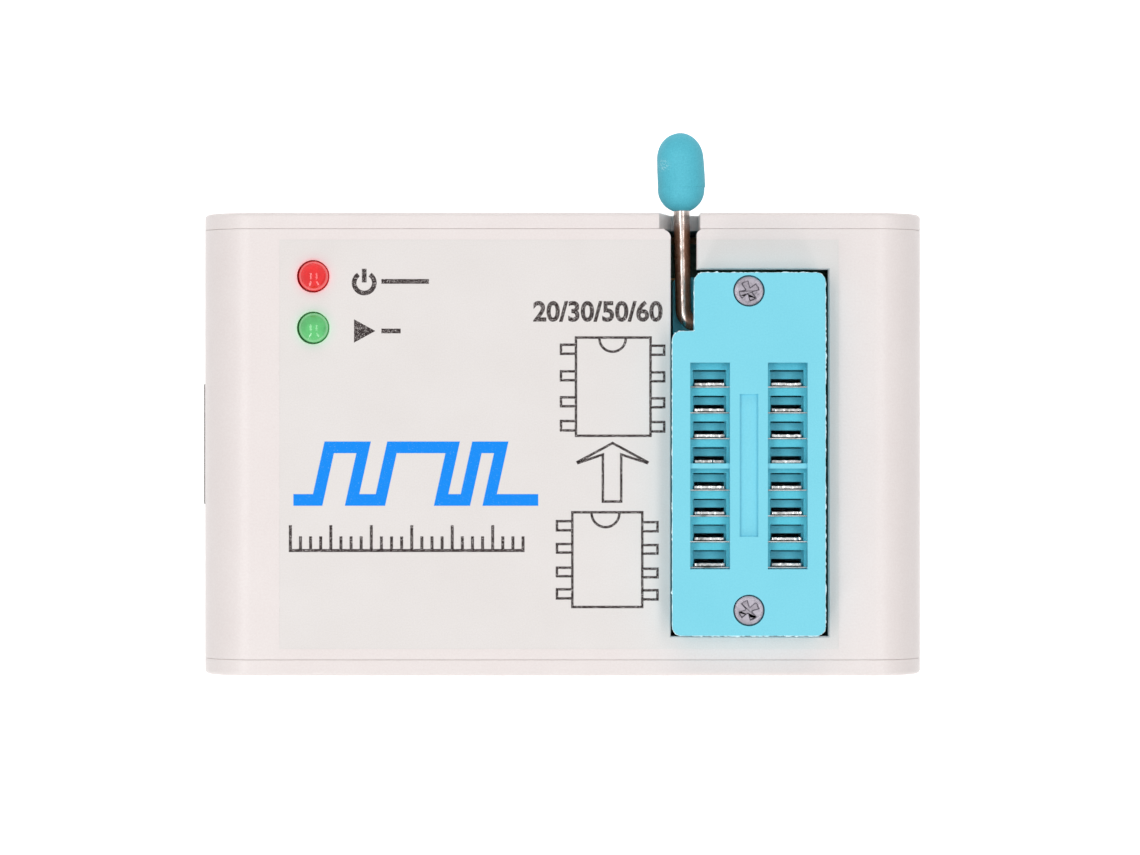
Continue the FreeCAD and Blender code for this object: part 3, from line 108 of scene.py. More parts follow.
class CaseSettings(bpy.types.PropertyGroup):
    shell_colour: colour_setting("Shell", "Colour of the two case shells", tone(240, 232, 230))
    shell_shade: colour_setting(
        "Shell shade", "Colour of the shells' cloudy areas", tone(234, 224, 222))
    film_colour: colour_setting("Film", "Colour of the printed film", tone(235, 230, 228))
    film_shade: colour_setting(
        "Film shade", "Colour of the film's cloudy areas", tone(227, 221, 218))
    # The mask colour is lighter than the board's own green: painted light for a board that little light
    # reaches down in the case
    board_colour: colour_setting("Board mask", "Colour of the circuit board", tone(84, 148, 120))
    edge_round: length_setting("Edge round", "Width of the break on the shells' edges", 0.12)
    seam_fill: length_setting("Seam fill", "How far the lid grows towards the end walls", 0.105)
    film_fill: length_setting("Film fill", "How far the film grows into its seat", 0.085)
    # Reach of the painted glow of lamp light on the film
    halo_reach: amount_setting(
        "Halo reach", "Reach of the tint round a lamp in millimetres", 2.7)


class SocketSettings(bpy.types.PropertyGroup):
    colour: colour_setting("Plastic", "Colour of the socket's mouldings", tone(128, 219, 238))
    shade: colour_setting("Plastic shade", "Colour of the mouldings' cloudy areas", tone(118, 212, 232))
    # The sliding plate's colours are a darker copy of the socket's plastic: painted shade for the parts
    # under the cover
    plate_colour: colour_setting("Sliding plate", "Colour of the sliding plate",
                                 tone(94, 210, 230))
    plate_shade: colour_setting("Plate shade", "Colour of the plate's cloudy areas",
                                tone(78, 197, 218))
    # The flash colours are near-white, a painted highlight on the cover's flash and screw lips
    flash_colour: colour_setting("Flash", "Colour of the thin mould flash", tone(240, 253, 255))
    flash_shade: colour_setting("Flash shade", "Colour of the flash where it is thicker",
                                tone(190, 240, 248))
    edge_round: length_setting("Edge round", "Width of the break on the cover's edges", 0.09)
    flash_reach: length_setting("Flash reach", "How far the flash stands out of the cover", 0.11)
    plaque_depth: length_setting("Plaque depth", "Depth of the cover's plaque as moulded", 0.15)
    plaque_drop: length_setting("Plaque drop", "How much deeper the plaque's floor is drawn", 0.3)
    contact_pitch: length_setting("Contact pitch", "Distance from one contact to the next", 2.54)
    row_spacing: length_setting("Row spacing", "Distance between the two rows", 7.62)
    contact_count: IntProperty(
        name="Contacts", description="Contacts in each row", default=8, min=1)


class LeverSettings(bpy.types.PropertyGroup):
    knob_colour: colour_setting("Knob", "Colour of the lever's knob", tone(89, 198, 218))
    knob_shade: colour_setting("Knob shade", "Colour of the knob's cloudy areas", tone(72, 178, 200))
    lean: angle_setting("Lean", "Angle between the arm and the case's side", 1.2)
    seam_place: length_setting("Seam place", "Mould line's distance from the knob's lower end", 2.3)
    seam_shift: length_setting("Seam shift", "How far the knob's upper half stands aside", 0.06)
    upper_lean: angle_setting("Upper lean", "Angle between the knob's two halves", 1.6)


class LampSettings(bpy.types.PropertyGroup):
    red: colour_setting("Red lens", "Colour of the upper lamp", tone(244, 16, 22))
    green: colour_setting("Green lens", "Colour of the lower lamp", tone(92, 198, 114))
    offset: length_setting("Offset", "How far a lamp stands aside in its hole", 0.05)


class PrintSettings(bpy.types.PropertyGroup):
    ink: colour_setting("Ink", "Colour of the fine print", tone(46, 36, 36))
    mark: colour_setting("Mark", "Colour of the bold mark", tone(0, 142, 250))
    line: length_setting("Line", "Width of the printed lines", 0.25)
    thickness: length_setting("Thickness", "Thickness of the ink", 0.012)
    numerals: StringProperty(
        name="Numerals", description="Contact numbers above the upper chip outline",
        default="20/30/50/60")


class StageSettings(bpy.types.PropertyGroup):
    floor_colour: colour_setting("Floor", "Colour of the floor", (0.9, 0.9, 0.9))
    floor_glow: amount_setting(
        "Floor glow", "Light that the floor adds to what the camera sees", 0.56)
    sky: amount_setting("Sky", "Strength of the light from all round", 0.345)
    overhead_power: amount_setting(
        "Overhead", "Power of each long panel overhead in watts", 0.94)
    front_power: amount_setting(
        "Front", "Power of each upright panel in front in watts", 0.68)
    back_power: amount_setting("Back", "Power of the soft panel behind in watts", 0.9)
    camera_across: length_setting("Camera across", "Camera's place along X", 0.74)
    camera_back: length_setting("Camera back", "Camera's place along Y", 1.66)
    camera_height: length_setting("Camera height", "Camera's height above the case's lid", 400)
    focal_length: amount_setting("Focal length", "Focal length in millimetres", 127.8)


SETTINGS = {
    "programmer_case": CaseSettings,
    "programmer_socket": SocketSettings,
    "programmer_lever": LeverSettings,
    "programmer_lamps": LampSettings,
    "programmer_print": PrintSettings,
    "programmer_stage": StageSettings,
}


# Shader node groups

def group_of(name, inputs, outputs):
    """New shader node group with its named sockets, and its two end nodes."""
    group = bpy.data.node_groups.new(name, "ShaderNodeTree")
    for label, kind, value in inputs:
        socket = group.interface.new_socket(name=label, in_out="INPUT", socket_type=kind)
        socket.default_value = value
    for label, kind in outputs:
        group.interface.new_socket(name=label, in_out="OUTPUT", socket_type=kind)
    return group, group.nodes.new("NodeGroupInput"), group.nodes.new("NodeGroupOutput")


def plug(tree, socket, value):
    """Links another node's socket to this one, or sets its own value."""
    if isinstance(value, bpy.types.NodeSocket):
        tree.links.new(value, socket)
    else:
        socket.default_value = value


def place_node(tree, kind, options=None, **inputs):
    """Adds a node; a value may be another node's socket, which is linked."""
    node = tree.nodes.new(kind)
    for key, value in (options or {}).items():
        setattr(node, key, value)
    for label, value in inputs.items():
        plug(tree, node.inputs[label.replace("_", " ")], value)
    return node


def math_node(tree, operation, *values):
    node = tree.nodes.new("ShaderNodeMath")
    node.operation = operation
    for socket, value in zip(node.inputs, values):
        plug(tree, socket, value)
    return node.outputs[0]


def mix_colours(tree, share, first, second):
    node = tree.nodes.new("ShaderNodeMix")
    node.data_type = "RGBA"
    for index, value in ((0, share), (6, first), (7, second)):
        plain = not isinstance(value, bpy.types.NodeSocket)
        plug(tree, node.inputs[index], (*value, 1) if plain and index else value)
    return node.outputs[2]


def vector_node(tree, operation, *values):
    """Vector maths as a node, because a distance comes out of a socket of its own."""
    node = place_node(tree, "ShaderNodeVectorMath", {"operation": operation})
    for socket, value in zip(node.inputs, values):
        plug(tree, socket, value)
    return node


def ramp_between(tree, value, low, high):
    """Turns a value into 0 below low and 1 above high, with a soft step."""
    return place_node(tree, "ShaderNodeMapRange", {"interpolation_type": "SMOOTHSTEP"},
                      Value=value, From_Min=low, From_Max=high).outputs["Result"]


def noise_node(tree, place, scale, detail=2.0, roughness=0.5):
    node = place_node(tree, "ShaderNodeTexNoise", Vector=place, Scale=scale, Detail=detail,
                      Roughness=roughness)
    return node.outputs[0]


def moulded_skin():
    """Cloudy colour, fine grain and uneven gloss of moulded plastic."""
    group, start, end = group_of(
        "Moulded Skin",
        [("Place", "NodeSocketVector", (0, 0, 0)), ("Colour", "NodeSocketColor", (1, 1, 1, 1)),
         ("Shade", "NodeSocketColor", (1, 1, 1, 1)), ("Grain", "NodeSocketFloat", 6.0),
         ("Gloss", "NodeSocketFloat", 0.45)],
        [("Colour", "NodeSocketColor"), ("Roughness", "NodeSocketFloat"),
         ("Height", "NodeSocketFloat")])
    place = start.outputs["Place"]
    clouds = noise_node(group, place, 0.16, 4.0, 0.55)
    grain = place_node(group, "ShaderNodeTexNoise", Vector=place, Scale=start.outputs["Grain"],
                       Detail=3.0).outputs[0]
    pits = place_node(group, "ShaderNodeTexVoronoi", Vector=place,
                      Scale=start.outputs["Grain"]).outputs["Distance"]
    share = math_node(group, "ADD", math_node(group, "MULTIPLY", clouds, 0.9),
                      math_node(group, "MULTIPLY", math_node(group, "SUBTRACT", grain, 0.5), 1.6))
    colour = mix_colours(group, share, start.outputs["Colour"], start.outputs["Shade"])
    group.links.new(colour, end.inputs["Colour"])
    uneven = math_node(group, "MULTIPLY", math_node(group, "SUBTRACT", grain, 0.5), 0.35)
    group.links.new(math_node(group, "ADD", start.outputs["Gloss"], uneven),
                    end.inputs["Roughness"])
    height = math_node(group, "ADD", math_node(group, "MULTIPLY", pits, 0.5), grain)
    group.links.new(height, end.inputs["Height"])
    return group


def stray_specks():
    """Mask of rare small specks, such as dust and dirt pressed into a surface."""
    group, start, end = group_of(
        "Stray Specks",
        [("Place", "NodeSocketVector", (0, 0, 0)), ("Spacing", "NodeSocketFloat", 3.0),
         ("Size", "NodeSocketFloat", 0.06), ("Share", "NodeSocketFloat", 0.2)],
        [("Mask", "NodeSocketFloat")])
    place = start.outputs["Place"]
    wobble = place_node(group, "ShaderNodeTexNoise", Vector=place, Scale=9.0)
    moved = vector_node(group, "MULTIPLY_ADD", wobble.outputs["Color"], (0.12, 0.12, 0.12), place)
    cells = place_node(group, "ShaderNodeTexVoronoi", Vector=moved.outputs[0])
    group.links.new(math_node(group, "DIVIDE", 1.0, start.outputs["Spacing"]),
                    cells.inputs["Scale"])
    reach = math_node(group, "DIVIDE", start.outputs["Size"], start.outputs["Spacing"])
    near = math_node(group, "LESS_THAN", cells.outputs["Distance"], reach)
    pick = place_node(group, "ShaderNodeSeparateColor", Color=cells.outputs["Color"])
    chosen = math_node(group, "LESS_THAN", pick.outputs[0], start.outputs["Share"])
    group.links.new(math_node(group, "MULTIPLY", near, chosen), end.inputs["Mask"])
    return group


def fine_scratches():
    """Mask and height of fine scratches that run along one way of the piece."""
    group, start, end = group_of(
        "Fine Scratches",
        [("Place", "NodeSocketVector", (0, 0, 0)), ("Stretch", "NodeSocketVector", (1, 1, 1)),
         ("Amount", "NodeSocketFloat", 0.5)],
        [("Mask", "NodeSocketFloat"), ("Height", "NodeSocketFloat")])
    drawn = vector_node(group, "MULTIPLY", start.outputs["Place"], start.outputs["Stretch"])
    lines = noise_node(group, drawn.outputs[0], 1.0, 5.0, 0.65)
    patches = noise_node(group, start.outputs["Place"], 1.3, 3.0)
    mask = math_node(group, "MULTIPLY", ramp_between(group, lines, 0.45, 0.72),
                     ramp_between(group, patches, 0.35, 0.65))
    group.links.new(math_node(group, "MULTIPLY", mask, start.outputs["Amount"]),
                    end.inputs["Mask"])
    group.links.new(lines, end.inputs["Height"])
    return group


def lamp_halo():
    """Mask that fades away from an upright line, for painted light: the glow that a lamp throws round
    it, and other painted highlights.
    """
    group, start, end = group_of(
        "Lamp Halo",
        [("Place", "NodeSocketVector", (0, 0, 0)), ("Middle", "NodeSocketVector", (0, 0, 0)),
         ("Inner", "NodeSocketFloat", 1.6), ("Outer", "NodeSocketFloat", 3.0)],
        [("Mask", "NodeSocketFloat")])
    flat = vector_node(group, "MULTIPLY", start.outputs["Place"], (1, 1, 0))
    away = vector_node(group, "DISTANCE", flat.outputs[0], start.outputs["Middle"])
    fade = place_node(group, "ShaderNodeMapRange", {"interpolation_type": "SMOOTHSTEP"},
                      Value=away.outputs["Value"], From_Min=start.outputs["Inner"],
                      From_Max=start.outputs["Outer"], To_Min=1.0, To_Max=0.0)
    group.links.new(fade.outputs[0], end.inputs["Mask"])
    return group


GROUPS = {
    "Lamp Halo": lamp_halo,
    "Moulded Skin": moulded_skin,
    "Stray Specks": stray_specks,
    "Fine Scratches": fine_scratches,
}


class Finish:
    """A material being put together around one Principled shader."""

    def __init__(self, name, roughness=0.5, metallic=0.0):
        self.material = bpy.data.materials.new(name)
        self.material.use_nodes = True
        self.tree = self.material.node_tree
        self.shader = self.tree.nodes["Principled BSDF"]
        self.feed("Roughness", roughness)
        self.feed("Metallic", metallic)
        where = place_node(self.tree, "ShaderNodeTexCoord").outputs["Object"]
        self.place = place_node(
            self.tree, "ShaderNodeMapping", Vector=where, Scale=(1000, 1000, 1000)).outputs[0]

    def use(self, name, **inputs):
        """Places a shared effect and gives its node."""
        group = bpy.data.node_groups.get(name) or GROUPS[name]()
        node = self.tree.nodes.new("ShaderNodeGroup")
        node.node_tree = group
        self.tree.links.new(self.place, node.inputs["Place"])
        for label, value in inputs.items():
            plug(self.tree, node.inputs[label],
                 (*value, 1) if label in ("Colour", "Shade") else value)
        return node

    def feed(self, label, value):
        plug(self.tree, self.shader.inputs[label], value)

    def along(self, axis):
        """Place along one axis in millimetres."""
        split = place_node(self.tree, "ShaderNodeSeparateXYZ", Vector=self.place)
        return split.outputs[axis]

    def raise_surface(self, height, depth):
        """Bump of a depth in millimetres."""
        bump = place_node(self.tree, "ShaderNodeBump", Height=height, Strength=0.5,
                          Distance=depth * MM)
        self.feed("Normal", bump.outputs[0])

    def cover(self, shown, skin, depth):
        """Feeds the shown colour and a skin's gloss and grain, and gives the material."""
        self.feed("Base Color", shown)
        self.feed("Roughness", skin.outputs["Roughness"])
        self.raise_surface(skin.outputs["Height"], depth)
        return self.material


def plastic(name, colour, shade, grain=5.0, gloss=0.45, speck=(90, 74, 66), specks=0.05):
    """Moulded plastic with cloudy colour, grain and stray specks."""
    finish = Finish(name, gloss)
    skin = finish.use("Moulded Skin", Colour=colour, Shade=shade, Grain=grain, Gloss=gloss)
    dirt = finish.use("Stray Specks", Spacing=2.7, Size=0.055, Share=specks)
    shown = mix_colours(finish.tree, dirt.outputs["Mask"], skin.outputs["Colour"], tone(*speck))
    return finish.cover(shown, skin, 0.02)


def metal_finish(name, colour, dark, gloss, stretch, amount, bump):
    """Metal whose fine scratches change its colour and its gloss, and its shown colour."""
    finish = Finish(name, gloss, 1.0)
    tree = finish.tree
    lines = finish.use("Fine Scratches", Stretch=stretch, Amount=amount)
    clouds = noise_node(tree, finish.place, 0.8, 3.0)
    stained = mix_colours(tree, ramp_between(tree, clouds, 0.4, 0.85), colour, dark)
    shown = mix_colours(tree, lines.outputs["Mask"], stained, dark)
    finish.feed("Base Color", shown)
    rough = math_node(tree, "MULTIPLY", lines.outputs["Mask"], 0.35)
    finish.feed("Roughness", math_node(tree, "ADD", rough, gloss))
    finish.raise_surface(lines.outputs["Height"], bump)
    return finish, shown


def metal(name, colour, dark, gloss=0.28, stretch=(1.0, 1.0, 1.0), amount=0.6, bump=0.006):
    return metal_finish(name, colour, dark, gloss, stretch, amount, bump)[0].material


# Mesh helpers

def settings(name):
    return getattr(bpy.context.scene, name)


def merged_copy(node):
    """bmesh of a frame piece whose loose triangles are joined."""
    bm = bmesh.new()
    bm.from_mesh(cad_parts[node].data)
    bmesh.ops.remove_doubles(bm, verts=bm.verts, dist=JOINED)
    bmesh.ops.dissolve_limit(bm, angle_limit=math.radians(0.3), verts=bm.verts, edges=bm.edges)
    return bm


def break_edges(bm, width, wanted=None, segments=2):
    """Bevels the sharp outer edges, or those of them that are wanted."""
    chosen = []
    for edge in bm.edges:
        if len(edge.link_faces) == 2 and edge.is_convex:
            if edge.calc_face_angle() > math.radians(SHARP) and (wanted is None or wanted(edge)):
                chosen.append(edge)
    bmesh.ops.bevel(bm, geom=chosen, offset=width, offset_type="OFFSET", segments=segments,
                    profile=0.5, affect="EDGES", clamp_overlap=True, material=-1)


def add_object(name, data):
    made = bpy.data.objects.new(name, data)
    bpy.context.scene.collection.objects.link(made)
    return made


def make_piece(bm, name, body, material, replaced=()):
    """Turns a bmesh into a finished piece that rides on a body."""
    mesh = bpy.data.meshes.new(name)
    bm.to_mesh(mesh)
    bm.free()
    mesh.materials.append(material)
    for face in mesh.polygons:
        face.use_smooth = True
    mesh.set_sharp_from_angle(angle=math.radians(SHARP))
    piece = add_object(name, mesh)
    flat_shading = piece.modifiers.new("flat_shading", "WEIGHTED_NORMAL")
    flat_shading.keep_sharp = True
    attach(piece, body)
    if replaced:
        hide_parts(*replaced)


def dress(node, material):
    """Gives a frame piece its material."""
    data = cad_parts[node].data
    data.materials.clear()
    data.materials.append(material)


def middle(low, high):
    return (low + high) / 2


def turn(bm, verts, angle, axis, centre=(0, 0, 0)):
    bmesh.ops.rotate(bm, verts=verts, cent=centre, matrix=Matrix.Rotation(angle, 3, axis))


def shift(bm, verts, way):
    bmesh.ops.translate(bm, verts=verts, vec=way)


def verts_of(made):
    return [item for item in made["geom"] if isinstance(item, bmesh.types.BMVert)]


def spin_profile(bm, points, steps=48):
    """Turns (radius, height) points round the Z axis into a closed shape."""
    verts = [bm.verts.new((radius, 0, height)) for radius, height in points]
    edges = [bm.edges.new(pair) for pair in zip(verts, verts[1:])]
    bmesh.ops.spin(bm, geom=verts + edges, cent=(0, 0, 0), axis=(0, 0, 1), dvec=(0, 0, 0),
                   angle=math.tau, steps=steps, use_merge=True, use_normal_flip=False,
                   use_duplicate=False)
    bmesh.ops.remove_doubles(bm, verts=bm.verts, dist=JOINED)
    bmesh.ops.recalc_face_normals(bm, faces=bm.faces)


def arc_points(across, along, radius, start, stop, count):
    """Points of an arc round a centre, from one angle in degrees to another."""
    points = []
    for index in range(count + 1):
        angle = math.radians(start + (stop - start) * index / count)
        points.append((across + radius * math.cos(angle), along + radius * math.sin(angle)))
    return points


def copy_into(bm, other):
    """Adds one bmesh to another and frees it."""
    mesh = bpy.data.meshes.new("joined")
    other.to_mesh(mesh)
    other.free()
    bm.from_mesh(mesh)
    bpy.data.meshes.remove(mesh)


def grow_ends(bm, axis, reach):
    """Moves the two outermost ends along an axis outwards."""
    low = min(vert.co[axis] for vert in bm.verts)
    high = max(vert.co[axis] for vert in bm.verts)
    for vert in bm.verts:
        if vert.co[axis] - low < LEVEL:
            vert.co[axis] -= reach
        elif high - vert.co[axis] < LEVEL:
            vert.co[axis] += reach


# Operators

class PROGRAMMER_OT_case(bpy.types.Operator):
    """Give the two shells broken edges and a moulded skin, and finish the case's screws"""

    bl_idname = "programmer.case"
    bl_label = "Case"

    def execute(self, context):
        look = settings("programmer_case")
        shell = plastic("warm_white_plastic", look.shell_colour, look.shell_shade, gloss=0.36)
        lid = merged_copy("top_shell")
        grow_ends(lid, 1, look.seam_fill)
        break_edges(lid, look.edge_round, self.is_open_edge)
        make_piece(lid, "top_shell_skin", "housing", shell, ["top_shell"])
        tray = merged_copy("bottom_shell")
        break_edges(tray, look.edge_round)
        make_piece(tray, "bottom_shell_skin", "housing", shell, ["bottom_shell"])
        zinc = metal("zinc_screw", tone(196, 194, 190), tone(140, 136, 130), 0.34,
                     (14.0, 14.0, 3.0))
        dress("case_screws", zinc)
        dress("board_screws", zinc)
        return {"FINISHED"}

    def is_open_edge(self, edge):
        """The lid's edges against the end walls and round the film's seat stay crisp."""
        low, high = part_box("top_shell")
        film_low, film_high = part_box("label_overlay")
        room = 0.15 * MM
        spot = middle(*(vert.co for vert in edge.verts))
        on_seam = spot.y < low.y + room or spot.y > high.y - room
        round_film = (spot.z > film_low.z - room
                      and film_low.x - room < spot.x < film_high.x + room
                      and film_low.y - room < spot.y < film_high.y + room)
        return not on_seam and not round_film


class PROGRAMMER_OT_film(bpy.types.Operator):
    """Model the printed film, flush in its seat, with a painted glow that the lamps throw on it"""

    bl_idname = "programmer.film"
    bl_label = "Film"

    def execute(self, context):
        look = settings("programmer_case")
        bm = merged_copy("label_overlay")
        low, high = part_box("label_overlay")
        inner = low + Vector((0.5, 0.5, 0)) * MM
        outer = high - Vector((0.5, 0.5, 0)) * MM
        level = high.z - LEVEL
        break_edges(bm, 0.05 * MM, lambda edge: all(
            inner.x < vert.co.x < outer.x and inner.y < vert.co.y < outer.y
            and vert.co.z > level for vert in edge.verts))
        for axis in (0, 1):
            grow_ends(bm, axis, look.film_fill)
        make_piece(bm, "printed_film", "housing", self.satin(look),
                   ["label_overlay"])
        return {"FINISHED"}

    def satin(self, look):
        finish = Finish("satin_film", 0.38)
        tree = finish.tree
        skin = finish.use("Moulded Skin", Colour=look.film_colour, Shade=look.film_shade,
                          Grain=7.0, Gloss=0.38)
        dirt = finish.use("Stray Specks", Spacing=4.1, Size=0.05, Share=0.06)
        shown = mix_colours(tree, dirt.outputs["Mask"], skin.outputs["Colour"],
                            tone(120, 110, 106))
        # Painted glow of the lamps: pink round the red lamp and green round the green one, wide and
        # faint, with a stronger ring next to each hole
        for node, rim, wide in (("led_red", tone(252, 204, 206), tone(236, 220, 220)),
                                ("led_green", tone(210, 238, 213), tone(222, 228, 221))):
            low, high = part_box(node)
            spot = middle(low, high) / MM
            spot.z = 0
            for inner, outer, tint in ((1.6, look.halo_reach, wide), (1.6, 1.95, rim)):
                halo = finish.use("Lamp Halo", Middle=spot, Inner=inner, Outer=outer)
                shown = mix_colours(tree, halo.outputs["Mask"], shown, tint)
        return finish.cover(shown, skin, 0.008)


def socket_plastic():
    look = settings("programmer_socket")
    made = bpy.data.materials.get("aqua_moulding")
    return made or plastic("aqua_moulding", look.colour, look.shade, grain=6.0, gloss=0.4,
                           speck=(40, 110, 130), specks=0.1)


def shaded_socket_plastic():
    """A darker, deeper blue copy of the socket's plastic for the parts under the cover, as painted
    shade.
    """
    look = settings("programmer_socket")
    made = bpy.data.materials.get("shaded_socket_moulding")
    return made or plastic("shaded_socket_moulding", look.plate_colour, look.plate_shade, grain=6.0,
                           gloss=0.4, specks=0.02)


def once_each(items):
    """Drops repeats and keeps the order, which a set would not do."""
    return list(dict.fromkeys(items))


def outer_rim(bm, level):
    """Edges of the largest loop round the flat top of a piece."""
    rim = [edge for edge in bm.edges if all(abs(v.co.z - level) < LEVEL for v in edge.verts)
           and len(edge.link_faces) == 2
           and {round(abs(face.normal.z)) for face in edge.link_faces} == {0, 1}]
    loops = []
    while rim:
        open_edges = [rim.pop()]
        loop = []
        while open_edges:
            edge = open_edges.pop()
            loop.append(edge)
            for vert in edge.verts:
                for other in vert.link_edges:
                    if other in rim:
                        rim.remove(other)
                        open_edges.append(other)
        loops.append(loop)
    return max(loops, key=lambda loop: sum(edge.calc_length() for edge in loop))


class PROGRAMMER_OT_socket_cover(bpy.types.Operator):
    """Model the socket's cover with broken edges, mould flash, a deeper plaque and lips round its
    screws
    """

    bl_idname = "programmer.socket_cover"
    bl_label = "Socket cover"

    def execute(self, context):
        look = settings("programmer_socket")
        low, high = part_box("zif_cover")
        source = merged_copy("zif_cover")
        rim = outer_rim(source, high.z)
        self.make_flash(rim, look, high.z)
        for vert in source.verts:
            if abs(high.z - vert.co.z - look.plaque_depth) < LEVEL:
                vert.co.z -= look.plaque_drop
        break_edges(source, look.edge_round,
                    lambda edge: any(self.height_of(face) > 0.5 * MM for face in edge.link_faces)
                    and middle(*(v.co.z for v in edge.verts)) > high.z - 0.3 * MM)
        make_piece(source, "socket_cover", "housing", socket_plastic(),
                   ["zif_cover"])
        dress("zif_base", shaded_socket_plastic())
        self.make_lips(high.z)
        return {"FINISHED"}

    def height_of(self, face):
        levels = [vert.co.z for vert in face.verts]
        return max(levels) - min(levels)

    def make_lips(self, level):
        """Low ridge of plastic that each screw has pushed up round its hole."""
        low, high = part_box("cover_screws")
        bm = bmesh.new()
        for back in (high.y - SCREW_REACH, low.y + SCREW_REACH):
            ridge = bmesh.new()
            spin_profile(ridge, [(1.56 * MM, -0.05 * MM), (1.57 * MM, 0.02 * MM),
                                 (1.62 * MM, 0.035 * MM), (1.70 * MM, 0.02 * MM),
                                 (1.74 * MM, -0.05 * MM), (1.56 * MM, -0.05 * MM)], 48)
            shift(ridge, ridge.verts,
                  Vector((middle(low.x, high.x), back, level - 0.04 * MM)))
            copy_into(bm, ridge)
        # The lips take the flash's near-white colour, a painted highlight
        make_piece(bm, "screw_lips", "housing", bpy.data.materials["flash_and_painted_highlight"])

    def make_flash(self, rim, look, level):
        """Thin uneven lip of plastic along the line where the mould's halves met. Its near-white colour
        is a painted highlight along the cover's edges.
        """
        drawn = random.Random(7)
        bm = bmesh.new()
        made = {}
        for edge in rim:
            for vert in edge.verts:
                if vert not in made:
                    made[vert] = bm.verts.new(vert.co)
        for edge in rim:
            bm.edges.new([made[vert] for vert in edge.verts])
        for edge in list(bm.edges):
            cuts = int(edge.calc_length() / (0.22 * MM))
            if cuts:
                bmesh.ops.subdivide_edges(bm, edges=[edge], cuts=cuts)
        centre = sum((vert.co for vert in bm.verts), Vector()) / len(bm.verts)
        outward = {}
        for vert in bm.verts:
            push = Vector()
            for edge in vert.link_edges:
                along = (edge.verts[0].co - edge.verts[1].co).normalized()
                side = Vector((along.y, -along.x, 0))
                push += side if side.dot(vert.co - centre) > 0 else -side
            outward[vert] = push.normalized()
        inner = list(bm.verts)
        strip = bmesh.ops.extrude_edge_only(bm, edges=list(bm.edges))
        outer = verts_of(strip)
        partner = {}
        for vert in outer:
            for edge in vert.link_edges:
                other = edge.other_vert(vert)
                if other in outward:
                    partner[vert] = other
        for vert in outer:
            reach = look.flash_reach * drawn.choice((0.15, 0.25, 0.4, 0.5, 0.7, 1.0))
            if drawn.random() < 0.012:
                reach = 1.6 * look.flash_reach
            vert.co += outward[partner[vert]] * reach
            vert.co.z = level - (0.02 + 0.03 * drawn.random()) * MM
        for vert in inner:
            vert.co -= outward[vert] * (0.05 + 0.05 * drawn.random()) * MM
            vert.co.z = level - 0.004 * MM
        bmesh.ops.recalc_face_normals(bm, faces=bm.faces)
        if sum(face.normal.z for face in bm.faces) < 0:
            bmesh.ops.reverse_faces(bm, faces=bm.faces)
        bmesh.ops.solidify(bm, geom=bm.faces, thickness=0.03 * MM)
        # The flash is real; its near-white colour is a painted highlight
        pale = plastic("flash_and_painted_highlight", look.flash_colour, look.flash_shade, grain=3.0, gloss=0.35,
                       specks=0.0)
        make_piece(bm, "cover_flash", "housing", pale)


class PROGRAMMER_OT_slider(bpy.types.Operator):
    """Model the sliding plate under the cover's slots"""

    bl_idname = "programmer.slider"
    bl_label = "Slider"

    def execute(self, context):
        bm = merged_copy("zif_slider")
        break_edges(bm, 0.1 * MM)
        make_piece(bm, "sliding_plate", "slider", shaded_socket_plastic(),
                   ["zif_slider"])
        return {"FINISHED"}


def blade(bm, centre, width, thickness, low, high, rough, drawn):
    """Upright stamped strip in the XZ plane whose top edge is torn and a little wavy."""
    columns = 22
    rows = 8
    made = bmesh.ops.create_grid(bm, x_segments=columns, y_segments=rows, size=0.5)
    verts = made["verts"]
    bmesh.ops.scale(bm, verts=verts, vec=(width, high - low, 1))
    turn(bm, verts, math.radians(90), "X")
    top = max(vert.co.z for vert in verts)
    wave = [drawn.uniform(-1, 1) for _ in range(columns + 1)]
    for vert in verts:
        share = vert.co.x / width + 0.5
        index = min(columns, max(0, round(share * columns)))
        if top - vert.co.z < LEVEL:
            vert.co.z -= abs(wave[index]) * rough
            vert.co.y += 0.5 * wave[index] * rough
    shift(bm, verts, Vector((centre.x, centre.y, middle(low, high))))
    faces = once_each(face for vert in verts for face in vert.link_faces)
    bmesh.ops.solidify(bm, geom=faces, thickness=thickness)


# Thickness of the fixed and of the moving jaws' strip
POST_THICKNESS = 0.23 * MM
SPRING_THICKNESS = 0.12 * MM
# Width of a moving jaw's blade, and height of the bright bar on its top
SPRING_WIDTH = 2.6 * MM
BAR_HEIGHT = 0.14 * MM


